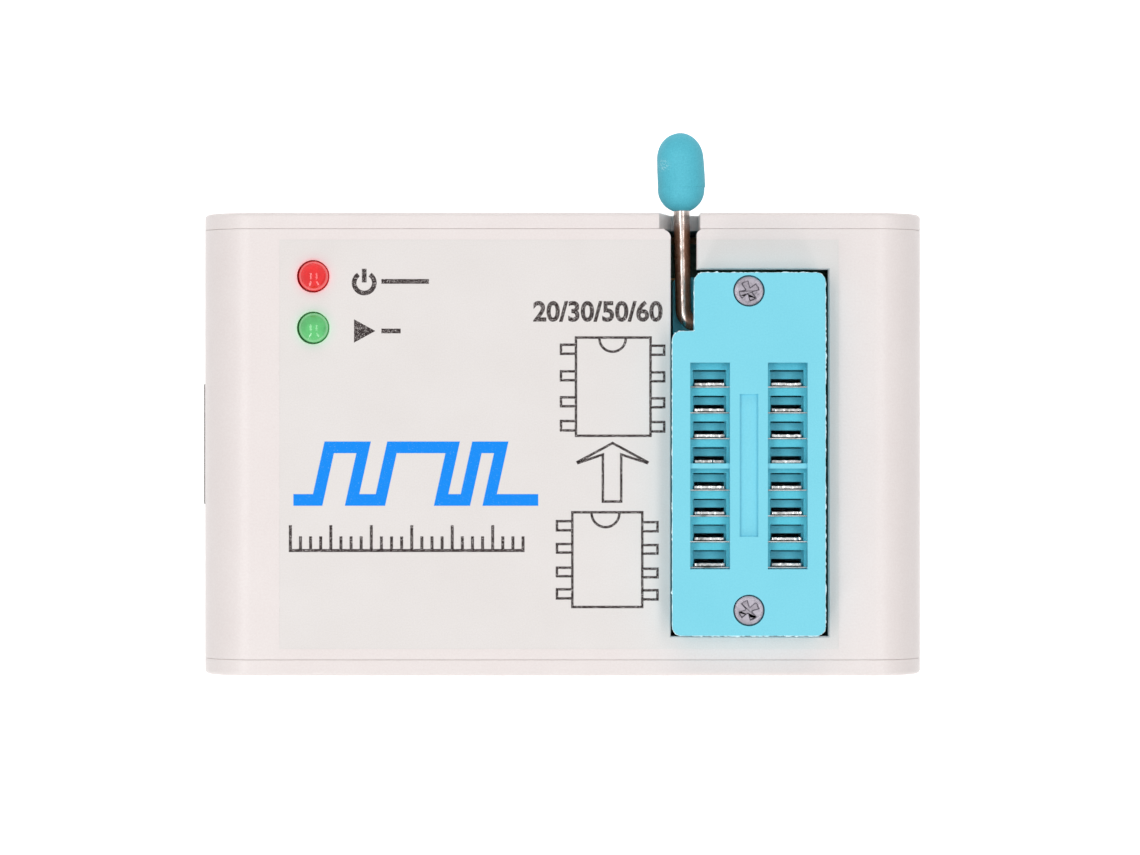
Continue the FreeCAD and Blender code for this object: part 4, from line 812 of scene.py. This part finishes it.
class PROGRAMMER_OT_contacts(bpy.types.Operator):
    """Model the fixed and the moving jaws of the contacts"""

    bl_idname = "programmer.contacts"
    bl_label = "Contacts"

    def execute(self, context):
        look = settings("programmer_socket")
        nickel = metal("nickel_jaw", tone(206, 208, 208), tone(96, 96, 92), 0.24,
                       (16.0, 16.0, 2.0), 0.9, 0.012)
        self.make_posts(look, nickel)
        self.make_springs(look, nickel)
        return {"FINISHED"}

    def places(self, look, node):
        """Middle of each jaw, from the first at the back."""
        low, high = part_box(node)
        centre = middle(low.x, high.x)
        back = high.y - (high.y - low.y - (look.contact_count - 1) * look.contact_pitch) / 2
        for side in (-0.5, 0.5):
            for index in range(look.contact_count):
                yield Vector((centre + side * look.row_spacing,
                              back - index * look.contact_pitch, 0))

    def make_posts(self, look, nickel):
        low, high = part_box("contact_posts")
        drawn = random.Random(3)
        bm = bmesh.new()
        width = high.x - low.x - look.row_spacing
        for place in self.places(look, "contact_posts"):
            foot = low.z + 4 * MM
            blade(bm, place - Vector((0, POST_THICKNESS / 2, 0)), width, POST_THICKNESS, foot,
                  high.z, 0.06 * MM, drawn)
            made = bmesh.ops.create_cone(bm, segments=4, radius1=0.22 * MM, radius2=0.35 * MM,
                                         depth=foot - low.z, cap_ends=True)
            turn(bm, made["verts"], math.radians(45), "Z")
            bmesh.ops.scale(bm, verts=made["verts"], vec=(1, 0.5, 1))
            shift(bm, made["verts"], place + Vector((0, 0, middle(low.z, foot))))
        bmesh.ops.recalc_face_normals(bm, faces=bm.faces)
        make_piece(bm, "fixed_jaws", "housing", nickel, ["contact_posts"])

    def make_springs(self, look, nickel):
        low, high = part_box("contact_springs")
        drawn = random.Random(5)
        bm = bmesh.new()
        width = high.x - low.x - look.row_spacing
        for place in self.places(look, "contact_springs"):
            blade(bm, place - Vector((0, SPRING_THICKNESS / 2, 0)), SPRING_WIDTH,
                  SPRING_THICKNESS, low.z, high.z - 0.1 * MM, 0.02 * MM, drawn)
            bar = bmesh.new()
            bmesh.ops.create_cube(bar, size=1)
            bmesh.ops.scale(bar, verts=bar.verts, vec=(width, SPRING_THICKNESS, BAR_HEIGHT))
            break_edges(bar, 0.015 * MM, segments=1)
            shift(bar, bar.verts, place + Vector((0, 0, high.z - BAR_HEIGHT / 2)))
            copy_into(bm, bar)
        bmesh.ops.recalc_face_normals(bm, faces=bm.faces)
        make_piece(bm, "moving_jaws", "slider", nickel, ["contact_springs"])


class PROGRAMMER_OT_cover_screws(bpy.types.Operator):
    """Model the two cross-recessed screws of the cover, with worn recesses"""

    bl_idname = "programmer.cover_screws"
    bl_label = "Cover screws"

    def execute(self, context):
        low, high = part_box("cover_screws")
        steel = self.worn_steel(high.z / MM)
        bm = bmesh.new()
        drawn = random.Random(11)
        for back, degrees in ((high.y - SCREW_REACH, 25), (low.y + SCREW_REACH, 28)):
            screw = self.make_screw(low.z, high.z, drawn)
            turn(screw, screw.verts, math.radians(degrees), "Z")
            shift(screw, screw.verts, Vector((middle(low.x, high.x), back, 0)))
            copy_into(bm, screw)
        make_piece(bm, "cover_screw_pair", "housing", steel, ["cover_screws"])
        return {"FINISHED"}

    def worn_steel(self, level):
        """Scuffed grey steel, with painted shade down in the cross, darker the deeper it lies and
        uneven in patches.
        """
        finish, shown = metal_finish("worn_screw", tone(156, 151, 160), tone(116, 111, 118), 0.45,
                                     (5.0, 5.0, 5.0), 0.9, 0.02)
        tree = finish.tree
        # Painted shade: the colour darkens with depth below the screw's top, in patches
        deep = math_node(tree, "SUBTRACT", level, finish.along("Z"))
        patches = ramp_between(tree, noise_node(tree, finish.place, 3.5, 3.0), 0.3, 0.62)
        painted_recess_shade = math_node(tree, "MULTIPLY", ramp_between(tree, deep, 0.02, 0.22),
                          math_node(tree, "ADD", math_node(tree, "MULTIPLY", patches, 0.6), 0.4))
        finish.feed("Base Color", mix_colours(tree, painted_recess_shade, shown, tone(134, 129, 137)))
        return finish.material

    def make_screw(self, low, high, drawn):
        bm = bmesh.new()
        arm = 0.98 * MM
        neck = 0.26 * MM
        tip = 0.4 * MM
        corners = []
        for quarter in range(4):
            quarter_turn = Matrix.Rotation(math.radians(90 * quarter), 3, "Z")
            for x, y in ((neck, -neck), (arm, -tip), (arm + 0.06 * MM, 0), (arm, tip)):
                corners.append(quarter_turn @ Vector((x, y, 0)))
        verts = [bm.verts.new(corner + Vector((0, 0, high))) for corner in corners]
        cross = bm.faces.new(verts)
        bmesh.ops.bevel(bm, geom=list(cross.verts), offset=0.05 * MM, segments=2, profile=0.5,
                        affect="VERTICES", clamp_overlap=True, material=-1)
        for vert in bm.verts:
            vert.co.x += drawn.uniform(-0.025, 0.025) * MM
            vert.co.y += drawn.uniform(-0.025, 0.025) * MM
        face = bm.faces[:][0]
        bmesh.ops.inset_region(bm, faces=[face], thickness=0.05 * MM, depth=0,
                               use_boundary=True)
        shift(bm, list(face.verts), (0, 0, -0.05 * MM))
        bmesh.ops.inset_region(bm, faces=[face], thickness=0.08 * MM, depth=0,
                               use_boundary=True)
        shift(bm, list(face.verts), (0, 0, -0.13 * MM))
        mouth = [edge for edge in bm.edges if edge.is_boundary]
        ring = bmesh.ops.create_circle(bm, cap_ends=False, segments=48, radius=1.33 * MM)
        shift(bm, ring["verts"], (0, 0, high))
        circle = once_each(edge for vert in ring["verts"] for edge in vert.link_edges)
        bmesh.ops.triangle_fill(bm, use_beauty=True, use_dissolve=False, edges=mouth + circle)
        for radius, level in ((1.43, high - 0.06 * MM), (1.45, high - 0.14 * MM),
                              (1.45, high - 0.85 * MM), (0.85, high - 0.9 * MM),
                              (0.85, low + 0.4 * MM), (0.5, low)):
            made = bmesh.ops.extrude_edge_only(bm, edges=circle)
            verts = verts_of(made)
            circle = [item for item in made["geom"] if isinstance(item, bmesh.types.BMEdge)]
            for vert in verts:
                flat = Vector((vert.co.x, vert.co.y, 0)).normalized() * radius * MM
                vert.co = flat + Vector((0, 0, level))
        bmesh.ops.contextual_create(bm, geom=circle)
        bmesh.ops.recalc_face_normals(bm, faces=bm.faces)
        return bm


class PROGRAMMER_OT_lever(bpy.types.Operator):
    """Model the moulded knob and finish the lever's steel rod"""

    bl_idname = "programmer.lever"
    bl_label = "Lever"

    def execute(self, context):
        look = settings("programmer_lever")
        self.make_knob(look)
        dress("lever_rod", self.steel_painted_reflection(look))
        return {"FINISHED"}

    def make_knob(self, look):
        """Ball-ended knob whose two mould halves don't quite meet."""
        low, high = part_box("lever_knob")
        length = high.y - low.y - 0.04 * MM
        seam = look.seam_place
        bore = 0.84 * MM
        ball = 2.33 * MM
        rise = math.sqrt(ball * ball - bore * bore)
        start = -math.degrees(math.acos(bore / ball))
        points = [(bore, 3 * MM), (bore, 0)]
        points += arc_points(0, rise, ball, start, 0, 20)[1:]
        points += [(ball, seam - 0.02 * MM), (ball + 0.02 * MM, seam),
                   (ball + 0.035 * MM, seam + 0.05 * MM), (ball + 0.02 * MM, seam + 1.9 * MM),
                   (ball - 0.01 * MM, seam + 2.8 * MM)]
        crown = length - seam - 2.9 * MM
        for radius, height in arc_points(0, 0, 1, 2, 90, 22):
            points.append((radius * (ball - 0.02 * MM), seam + 2.9 * MM + height * crown))
        points[-1] = (0, length)
        bm = bmesh.new()
        spin_profile(bm, points, 72)
        upper = [vert for vert in bm.verts
                 if vert.co.z > seam - LEVEL and vert.co.xy.length > bore + LEVEL
                 or vert.co.z > length - LEVEL]
        shift(bm, upper, (look.seam_shift, 0, 0))
        turn(bm, upper, -look.upper_lean, "Y", (0, 0, seam))
        turn(bm, bm.verts, math.radians(-90), "X")
        turn(bm, bm.verts, look.lean, "Z")
        aside = math.tan(look.lean) * (high.y - low.y) / 2
        foot = Vector((middle(low.x, high.x) + aside, low.y + 0.02 * MM, middle(low.z, high.z)))
        shift(bm, bm.verts, foot)
        bmesh.ops.recalc_face_normals(bm, faces=bm.faces)
        make_piece(bm, "moulded_knob", "lever", self.matt_knob(look),
                   ["lever_knob"])

    def matt_knob(self, look):
        """Matt plastic with grain, and a painted highlight, pale and patchy, on its left side."""
        finish = Finish("matt_knob", 0.6)
        tree = finish.tree
        skin = finish.use("Moulded Skin", Colour=look.knob_colour, Shade=look.knob_shade,
                          Grain=7.0, Gloss=0.6)
        low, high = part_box("lever_knob")
        # Painted highlight: a pale patch on the knob's left side, broken up by noise
        spot = Vector((low.x + 0.75 * MM, low.y + 4.5 * MM, 0)) / MM
        painted_highlight = finish.use("Lamp Halo", Middle=spot, Inner=0.15, Outer=0.85)
        rough = ramp_between(tree, noise_node(tree, finish.place, 6.0, 4.0, 0.7), 0.5, 0.62)
        mask = math_node(tree, "MULTIPLY", painted_highlight.outputs["Mask"], rough)
        shown = mix_colours(tree, mask, skin.outputs["Colour"], tone(170, 224, 234))
        dirt = finish.use("Stray Specks", Spacing=1.6, Size=0.05, Share=0.1)
        shown = mix_colours(tree, dirt.outputs["Mask"], shown, tone(60, 140, 160))
        return finish.cover(shown, skin, 0.03)

    def steel_painted_reflection(self, look):
        """Drawn steel, plain along its top and near the knob, with a painted brown reflection along its
        flanks.
        """
        finish, shown = metal_finish("steel_painted_reflection", tone(196, 184, 178), tone(120, 106, 98),
                                     0.24, (9.0, 0.6, 9.0), 0.9, 0.01)
        tree = finish.tree
        low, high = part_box("lever_knob")
        across = middle(low.x, high.x) / MM
        back = middle(low.y, high.y) / MM
        along = math_node(tree, "SUBTRACT", finish.along("Y"), back)
        axis = math_node(tree, "MULTIPLY", along, math.tan(look.lean))
        aside = math_node(tree, "ADD", math_node(tree, "SUBTRACT", finish.along("X"), across),
                          axis)
        away = math_node(tree, "ABSOLUTE", math_node(tree, "ADD", aside, 0.05))
        uneven = math_node(tree, "MULTIPLY", noise_node(tree, finish.place, 1.2, 4.0), 0.3)
        flank = ramp_between(tree, math_node(tree, "ADD", away, uneven), 0.24, 0.44)
        near_knob = ramp_between(tree, finish.along("Y"), low.y / MM - 2.2, low.y / MM - 0.6)
        brown = math_node(tree, "MULTIPLY", flank, math_node(tree, "SUBTRACT", 1.0, near_knob))
        # Painted reflection: the flanks away from the knob are brown and less metallic, standing in for
        # the brown surroundings they reflect
        finish.feed("Base Color", mix_colours(tree, brown, shown, tone(122, 84, 64)))
        painted_reflection_share = math_node(tree, "MULTIPLY", brown, 0.7)
        finish.feed("Metallic", math_node(tree, "SUBTRACT", 1.0, painted_reflection_share))
        return finish.material


class PROGRAMMER_OT_lamps(bpy.types.Operator):
    """Model the two lamps with domed lenses"""

    bl_idname = "programmer.lamps"
    bl_label = "Lamps"

    def execute(self, context):
        look = settings("programmer_lamps")
        for node, colour, slot in (("led_red", look.red, "red_lens"),
                                   ("led_green", look.green, "green_lens")):
            low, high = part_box(node)
            flange = (high.x - low.x) / 2
            barrel = flange - 0.4 * MM
            step = low.z + 1.0 * MM
            shoulder = high.z - barrel
            points = [(0, low.z), (flange - 0.1 * MM, low.z), (flange, low.z + 0.1 * MM),
                      (flange, step), (barrel, step)]
            points += arc_points(0, shoulder, barrel, 0, 90, 32)
            points[-1] = (0, high.z)
            bm = bmesh.new()
            spin_profile(bm, points, 72)
            place = middle(low, high) + Vector((look.offset, 0.5 * look.offset, 0))
            place.z = 0
            shift(bm, bm.verts, place)
            make_piece(bm, f"{node}_lens", "housing", self.lens(f"{node}_resin", colour, place),
                       [node])
        dress("led_leads", metal("tinned_lead", tone(200, 200, 200), tone(150, 150, 150)))
        return {"FINISHED"}

    def lens(self, name, colour, place):
        """Dyed, slightly milky resin under a glossy skin, with a painted highlight: a lighter ring near
        its rim.
        """
        finish = Finish(name, 0.06)
        finish.feed("Specular IOR Level", 0.6)
        tree = finish.tree
        clouds = noise_node(tree, finish.place, 0.9, 3.0)
        base = mix_colours(tree, ramp_between(tree, clouds, 0.35, 0.7), colour,
                           dimmed(colour, 0.8))
        # Painted highlight: the ring near the rim is lighter than the resin's own colour
        light = [channel + 0.16 * (1 - channel) for channel in colour]
        core = finish.use("Lamp Halo", Middle=place / MM, Inner=1.16, Outer=1.38)
        rim = finish.use("Lamp Halo", Middle=place / MM, Inner=1.4, Outer=1.48)
        ring = math_node(tree, "MULTIPLY", math_node(tree, "SUBTRACT", 1.0, core.outputs[0]),
                         rim.outputs[0])
        shown = mix_colours(tree, ring, base, light)
        dirt = finish.use("Stray Specks", Spacing=0.9, Size=0.035, Share=0.1)
        shown = mix_colours(tree, dirt.outputs["Mask"], shown, dimmed(colour, 0.45))
        finish.feed("Base Color", shown)
        finish.feed("Emission Color", shown)
        finish.feed("Emission Strength", 0.1)
        finish.raise_surface(noise_node(tree, finish.place, 3.0, 2.0), 0.002)
        return finish.material


class Ink:
    """Collects printed shapes, all drawn flat at one level."""

    def __init__(self, level, thickness, line):
        self.bm = bmesh.new()
        self.level = level
        self.thickness = thickness
        self.line = line

    def stroke(self, corners, closed=False, line=None):
        """A line of even width along the corners, which are in millimetres."""
        half = (line or self.line) / 2
        points = [Vector((x * MM, y * MM, 0)) for x, y in corners]
        count = len(points)
        rails = []
        for index, point in enumerate(points):
            before = points[index - 1] if closed or index else None
            after = points[(index + 1) % count] if closed or index < count - 1 else None
            into = (point - before).normalized() if before else (after - point).normalized()
            out = (after - point).normalized() if after else into
            ahead = (into + out).normalized()
            side = Vector((-ahead.y, ahead.x, 0))
            square = Vector((-into.y, into.x, 0))
            rails.append((point, side * (half / side.dot(square))))
        verts = []
        for point, side in rails:
            lift = Vector((0, 0, self.level))
            verts.append((self.bm.verts.new(point + side + lift),
                          self.bm.verts.new(point - side + lift)))
        pairs = list(zip(verts, verts[1:]))
        if closed:
            pairs.append((verts[-1], verts[0]))
        for (left, right), (next_left, next_right) in pairs:
            self.bm.faces.new((left, right, next_right, next_left))

    def fill(self, corners):
        verts = [self.bm.verts.new((x * MM, y * MM, self.level)) for x, y in corners]
        self.bm.faces.new(verts)

    def arc(self, centre, radius, start, stop, steps=24):
        self.stroke(arc_points(*centre, radius, start, stop, steps))

    def letter_shapes(self, text, left, right, low, high):
        """Sets plain numerals to fill a box given in millimetres."""
        curve = bpy.data.curves.new("numerals", "FONT")
        curve.body = text
        curve.resolution_u = 5
        curve.offset = 0.03
        holder = add_object("numerals", curve)
        bpy.context.view_layer.update()
        mesh = bpy.data.meshes.new_from_object(holder)
        bpy.data.objects.remove(holder)
        bpy.data.curves.remove(curve)
        numerals = bmesh.new()
        numerals.from_mesh(mesh)
        bpy.data.meshes.remove(mesh)
        wide = [vert.co.x for vert in numerals.verts]
        tall = [vert.co.y for vert in numerals.verts]
        across = (right - left) * MM / (max(wide) - min(wide))
        along = (high - low) * MM / (max(tall) - min(tall))
        shift(numerals, numerals.verts, (-min(wide), -min(tall), 0))
        bmesh.ops.scale(numerals, verts=numerals.verts, vec=(across, along, 1))
        shift(numerals, numerals.verts, (left * MM, low * MM, self.level))
        copy_into(self.bm, numerals)

    def finish(self, name, material, slot):
        bmesh.ops.remove_doubles(self.bm, verts=self.bm.verts, dist=0.001 * MM)
        bmesh.ops.recalc_face_normals(self.bm, faces=self.bm.faces)
        for face in self.bm.faces:
            if face.normal.z < 0:
                face.normal_flip()
        top = bmesh.ops.extrude_face_region(self.bm, geom=list(self.bm.faces))
        shift(self.bm, verts_of(top), (0, 0, self.thickness))
        bmesh.ops.recalc_face_normals(self.bm, faces=self.bm.faces)
        make_piece(self.bm, name, "housing", material)


def ink_finish(name, colour, pale, share):
    """Screen ink with small pinholes where the film shows through."""
    finish = Finish(name, 0.6)
    finish.feed("Specular IOR Level", 0.2)
    tree = finish.tree
    holes = noise_node(tree, finish.place, 11.0, 3.0, 0.6)
    patches = noise_node(tree, finish.place, 3.0, 2.0)
    thin = math_node(tree, "ADD", holes, math_node(tree, "MULTIPLY", patches, 0.25))
    gaps = ramp_between(tree, thin, share, share + 0.09)
    finish.feed("Base Color", mix_colours(tree, gaps, colour, pale))
    finish.raise_surface(holes, 0.01)
    return finish.material


class PROGRAMMER_OT_print(bpy.types.Operator):
    """Print the film: two chip outlines, numerals, signs and a plain pulse mark"""

    bl_idname = "programmer.print_film"
    bl_label = "Print"

    def execute(self, context):
        look = settings("programmer_print")
        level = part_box("label_overlay")[1].z
        fine = Ink(level, look.thickness, look.line)
        self.chip(fine, (1.33, 8.70), (0.84, 10.55), 4.95, 1.3, (-0.15, 10.05),
                  ((9.84, 8.95), (7.21, 6.33), (4.64, 3.76), (2.30, 1.37)))
        self.chip(fine, (0.97, 7.88), (-16.08, -6.72), 4.25, 1.37, (-0.55, 9.39),
                  ((-7.60, -8.50), (-9.86, -10.70), (-12.20, -13.04), (-14.33, -15.23)))
        fine.stroke([(4.95, 0.12), (8.40, -1.75), (8.35, -1.84), (5.80, -1.01), (5.80, -5.66),
                     (3.99, -5.66), (3.99, -1.01), (1.55, -1.84), (1.50, -1.75)], True)
        self.signs(fine)
        fine.letter_shapes(look.numerals, -2.9, 9.9, 12.1, 14.2)
        for index in range(24):
            left = -26.9 + index
            tall = 2.4 if index % 4 == 0 else 1.3
            fine.stroke([(left, -10.4), (left, -10.4 + tall)], line=0.3 * MM)
        fine.stroke([(-27.05, -10.5), (-3.75, -10.5)], line=0.3 * MM)
        fine.finish("fine_print", ink_finish("dark_ink", look.ink, tone(206, 198, 196), 0.67),
                    "label_film")
        bold = Ink(level, look.thickness, 1.15 * MM)
        slant = 0.22
        path = []
        for x, y in ((-26.6, -5.5), (-24.2, -5.5), (-24.2, -0.3), (-20.8, -0.3), (-20.8, -5.5),
                     (-18.0, -5.5), (-18.0, -0.3), (-12.0, -0.3), (-12.0, -5.5), (-9.6, -5.5),
                     (-9.6, -0.3), (-7.2, -0.3), (-7.2, -5.5), (-2.4, -5.5)):
            path.append((x + slant * (y + 5.5), y))
        bold.stroke(path)
        bold.finish("pulse_mark", ink_finish("blue_ink", look.mark, tone(120, 190, 240), 0.75),
                    "label_film")
        return {"FINISHED"}

    def chip(self, ink, sides, ends, notch, radius, pins, rows):
        """Outline of a chip seen from above, with its notch and four pins a side."""
        left, right = sides
        low, high = ends
        ink.stroke([(left, low), (right, low), (right, high), (left, high)], True)
        ink.arc((notch, high - 0.1), radius, 180, 360)
        for upper, lower in rows:
            ink.stroke([(left - 0.1, upper), (pins[0], upper), (pins[0], lower),
                        (left - 0.1, lower)])
            ink.stroke([(right + 0.1, lower - 0.1), (pins[1], lower - 0.1),
                        (pins[1], upper - 0.1), (right + 0.1, upper - 0.1)])

    def signs(self, ink):
        """Power sign beside the upper lamp and run sign beside the lower one."""
        ink.line = 0.46 * MM
        ink.arc((-19.6, 15.95), 1.0, 125, 415, 36)
        ink.stroke([(-19.6, 16.0), (-19.6, 17.35)])
        ink.stroke([(-17.9, 16.1), (-13.2, 16.1)])
        ink.fill([(-20.6, 10.05), (-18.5, 11.2), (-20.6, 12.35)])
        ink.stroke([(-17.9, 11.2), (-16.0, 11.2)])


class PROGRAMMER_OT_board(bpy.types.Operator):
    """Finish the circuit board with its mask, bare rim and traces, and its parts"""

    bl_idname = "programmer.board"
    bl_label = "Board"

    def execute(self, context):
        look = settings("programmer_case")
        low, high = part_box("main_board")
        dress("main_board", self.laminate(look.board_colour, high.y / MM - 0.7))
        copper = metal("bare_copper", tone(196, 172, 128), tone(150, 120, 84), 0.35)
        ink = Ink(high.z, 0.02 * MM, 0.2 * MM)
        ink.stroke([(10.95, -18.8), (10.95, 16.9), (26.05, 16.9), (26.05, -18.8)], True,
                   0.16 * MM)
        ink.finish("board_traces", copper, "board_laminate")
        black = plastic("black_package", tone(38, 38, 40), tone(30, 30, 32), grain=8.0,
                        gloss=0.6, speck=(60, 60, 60))
        tin = metal("tinned_leg", tone(198, 198, 196), tone(150, 150, 148), 0.32)
        can = metal("drawn_can", tone(196, 196, 198), tone(150, 152, 156), 0.28)
        ceramic = plastic("ceramic_body", tone(150, 132, 104), tone(120, 104, 84), gloss=0.5)
        for nodes, material in (
                (("microcontroller", "buffer_chips", "voltage_regulator", "socket_strips",
                  "usb_insulator", "chip_resistors"), black),
                (("microcontroller_leads", "buffer_leads", "regulator_leads"), tin),
                (("crystal", "filter_capacitors"), can),
                (("chip_capacitors",), ceramic)):
            for node in nodes:
                dress(node, material)
        dress("strip_pins", metal("gold_flash", tone(214, 182, 112), tone(170, 136, 74), 0.25))
        return {"FINISHED"}

    def laminate(self, colour, rim):
        """Green mask that stops short of the board's back edge, over brown laminate."""
        finish = Finish("masked_laminate", 0.35)
        tree = finish.tree
        skin = finish.use("Moulded Skin", Colour=colour, Shade=dimmed(colour, 0.5),
                          Grain=4.0, Gloss=0.35)
        bare = ramp_between(tree, finish.along("Y"), rim - 0.05, rim + 0.05)
        fibre = noise_node(tree, finish.place, 3.0, 4.0)
        # Painted light: the bare laminate's browns are lighter than its own, like the mask
        brown = mix_colours(tree, fibre, tone(224, 176, 126), tone(186, 136, 90))
        return finish.cover(mix_colours(tree, bare, skin.outputs["Colour"], brown), skin, 0.01)


class PROGRAMMER_OT_inlet(bpy.types.Operator):
    """Finish the USB receptacle's metal shell and its contacts"""

    bl_idname = "programmer.inlet"
    bl_label = "USB inlet"

    def execute(self, context):
        bm = merged_copy("usb_shell")
        break_edges(bm, 0.05 * MM)
        make_piece(bm, "inlet_shell", "housing", self.tinned_shell(),
                   ["usb_shell"])
        dress("usb_contacts", metal("gold_contact", tone(220, 186, 110), tone(178, 142, 78), 0.22))
        return {"FINISHED"}

    def tinned_shell(self):
        """Tinned steel, with a painted dark reflection along the edge round the mouth."""
        finish, shown = metal_finish("tinned_shell", tone(206, 206, 204), tone(168, 166, 162),
                                     0.26, (0.7, 8.0, 8.0), 0.5, 0.006)
        tree = finish.tree
        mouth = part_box("usb_shell")[0].x / MM
        # Painted reflection: the shell is dark within 0.12 to 0.2 mm of its mouth
        inside = ramp_between(tree, finish.along("X"), mouth + 0.12, mouth + 0.2)
        finish.feed("Base Color", mix_colours(tree, inside, tone(112, 108, 112), shown))
        return finish.material


class PROGRAMMER_OT_stage(bpy.types.Operator):
    """Set up the pale floor, the soft lights and the camera"""

    bl_idname = "programmer.stage"
    bl_label = "Stage"

    def execute(self, context):
        look = settings("programmer_stage")
        scene = context.scene
        self.make_floor(look)
        self.make_sky(look)
        for word, side, share in (("left", -1, 1.13), ("right", 1, 0.9)):
            self.make_panel(f"overhead_{word}", (0.242 * side, 0, 0.6), (0.54, 0.145),
                            look.overhead_power * share)
            self.make_panel(f"front_{word}", (0.25 * side, -0.48, 0.26), (0.1, 0.42),
                            look.front_power * share)
        fill = self.make_panel("back_fill", (0, 0.55, 0.3), (0.6, 0.3), look.back_power)
        fill.visible_glossy = False
        camera = bpy.data.cameras.new("camera")
        camera.lens = look.focal_length
        camera.sensor_width = 36
        camera.clip_start = 0.01
        holder = add_object("camera", camera)
        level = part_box("top_shell")[1].z
        holder.location = (look.camera_across, look.camera_back, level + look.camera_height)
        scene.camera = holder
        scene.view_settings.view_transform = "Standard"
        return {"FINISHED"}

    def make_floor(self, look):
        bm = bmesh.new()
        bmesh.ops.create_grid(bm, x_segments=8, y_segments=8, size=3.0)
        shift(bm, bm.verts, (0, 0, -0.05 * MM))
        mesh = bpy.data.meshes.new("floor")
        bm.to_mesh(mesh)
        bm.free()
        floor = add_object("floor", mesh)
        finish = Finish("floor_paper", 0.9)
        tree = finish.tree
        finish.feed("Specular IOR Level", 0.1)
        fibres = noise_node(tree, finish.place, 0.05, 5.0)
        finish.feed("Base Color", mix_colours(tree, fibres, look.floor_colour,
                                              dimmed(look.floor_colour, 0.98)))
        seen = self.seen_share(tree)
        finish.feed("Emission Color", (1, 1, 1, 1))
        finish.feed("Emission Strength", math_node(tree, "MULTIPLY", seen, look.floor_glow))
        mesh.materials.append(finish.material)

    def seen_share(self, tree):
        """1 for rays from the camera, and for those that it sees in metal or glass."""
        path = place_node(tree, "ShaderNodeLightPath")
        seen = math_node(tree, "MAXIMUM", path.outputs["Is Camera Ray"],
                         path.outputs["Is Glossy Ray"])
        return math_node(tree, "MAXIMUM", seen, path.outputs["Is Transmission Ray"])

    def make_sky(self, look):
        world = bpy.data.worlds.new("studio")
        bpy.context.scene.world = world
        world.use_nodes = True
        tree = world.node_tree
        background = tree.nodes["Background"]
        background.inputs["Color"].default_value = (1, 1, 1, 1)
        seen = self.seen_share(tree)
        strength = math_node(tree, "ADD", math_node(tree, "MULTIPLY", seen, 1 - look.sky),
                             look.sky)
        tree.links.new(strength, background.inputs["Strength"])

    def make_panel(self, name, place, size, power):
        lamp = bpy.data.lights.new(name, "AREA")
        lamp.shape = "RECTANGLE"
        lamp.size, lamp.size_y = size
        lamp.energy = power
        holder = add_object(name, lamp)
        holder.location = place
        holder.rotation_euler = Vector(place).to_track_quat("Z", "Y").to_euler()
        holder.visible_camera = False
        return holder


STEPS = (
    PROGRAMMER_OT_case,
    PROGRAMMER_OT_film,
    PROGRAMMER_OT_socket_cover,
    PROGRAMMER_OT_slider,
    PROGRAMMER_OT_contacts,
    PROGRAMMER_OT_cover_screws,
    PROGRAMMER_OT_lever,
    PROGRAMMER_OT_lamps,
    PROGRAMMER_OT_print,
    PROGRAMMER_OT_board,
    PROGRAMMER_OT_inlet,
    PROGRAMMER_OT_stage,
)


class PROGRAMMER_PT_panel(bpy.types.Panel):
    """Lists the settings and the steps that finish the programmer"""

    bl_idname = "PROGRAMMER_PT_panel"
    bl_label = "Microcontroller Programmer"
    bl_space_type = "VIEW_3D"
    bl_region_type = "UI"
    bl_category = "Programmer"

    def draw(self, context):
        layout = self.layout
        for step in STEPS:
            layout.operator(step.bl_idname)
        for name, group in SETTINGS.items():
            box = layout.box()
            for word in group.__annotations__:
                box.prop(getattr(context.scene, name), word)


CLASSES = (*SETTINGS.values(), *STEPS, PROGRAMMER_PT_panel)


def register():
    for each in CLASSES:
        bpy.utils.register_class(each)
    for name, group in SETTINGS.items():
        setattr(bpy.types.Scene, name, PointerProperty(type=group))


def unregister():
    for name in SETTINGS:
        delattr(bpy.types.Scene, name)
    for each in reversed(CLASSES):
        bpy.utils.unregister_class(each)


def main():
    register()
    for step in STEPS:
        area, word = step.bl_idname.split(".")
        getattr(getattr(bpy.ops, area), word)()


if __name__ == "__main__":
    main()
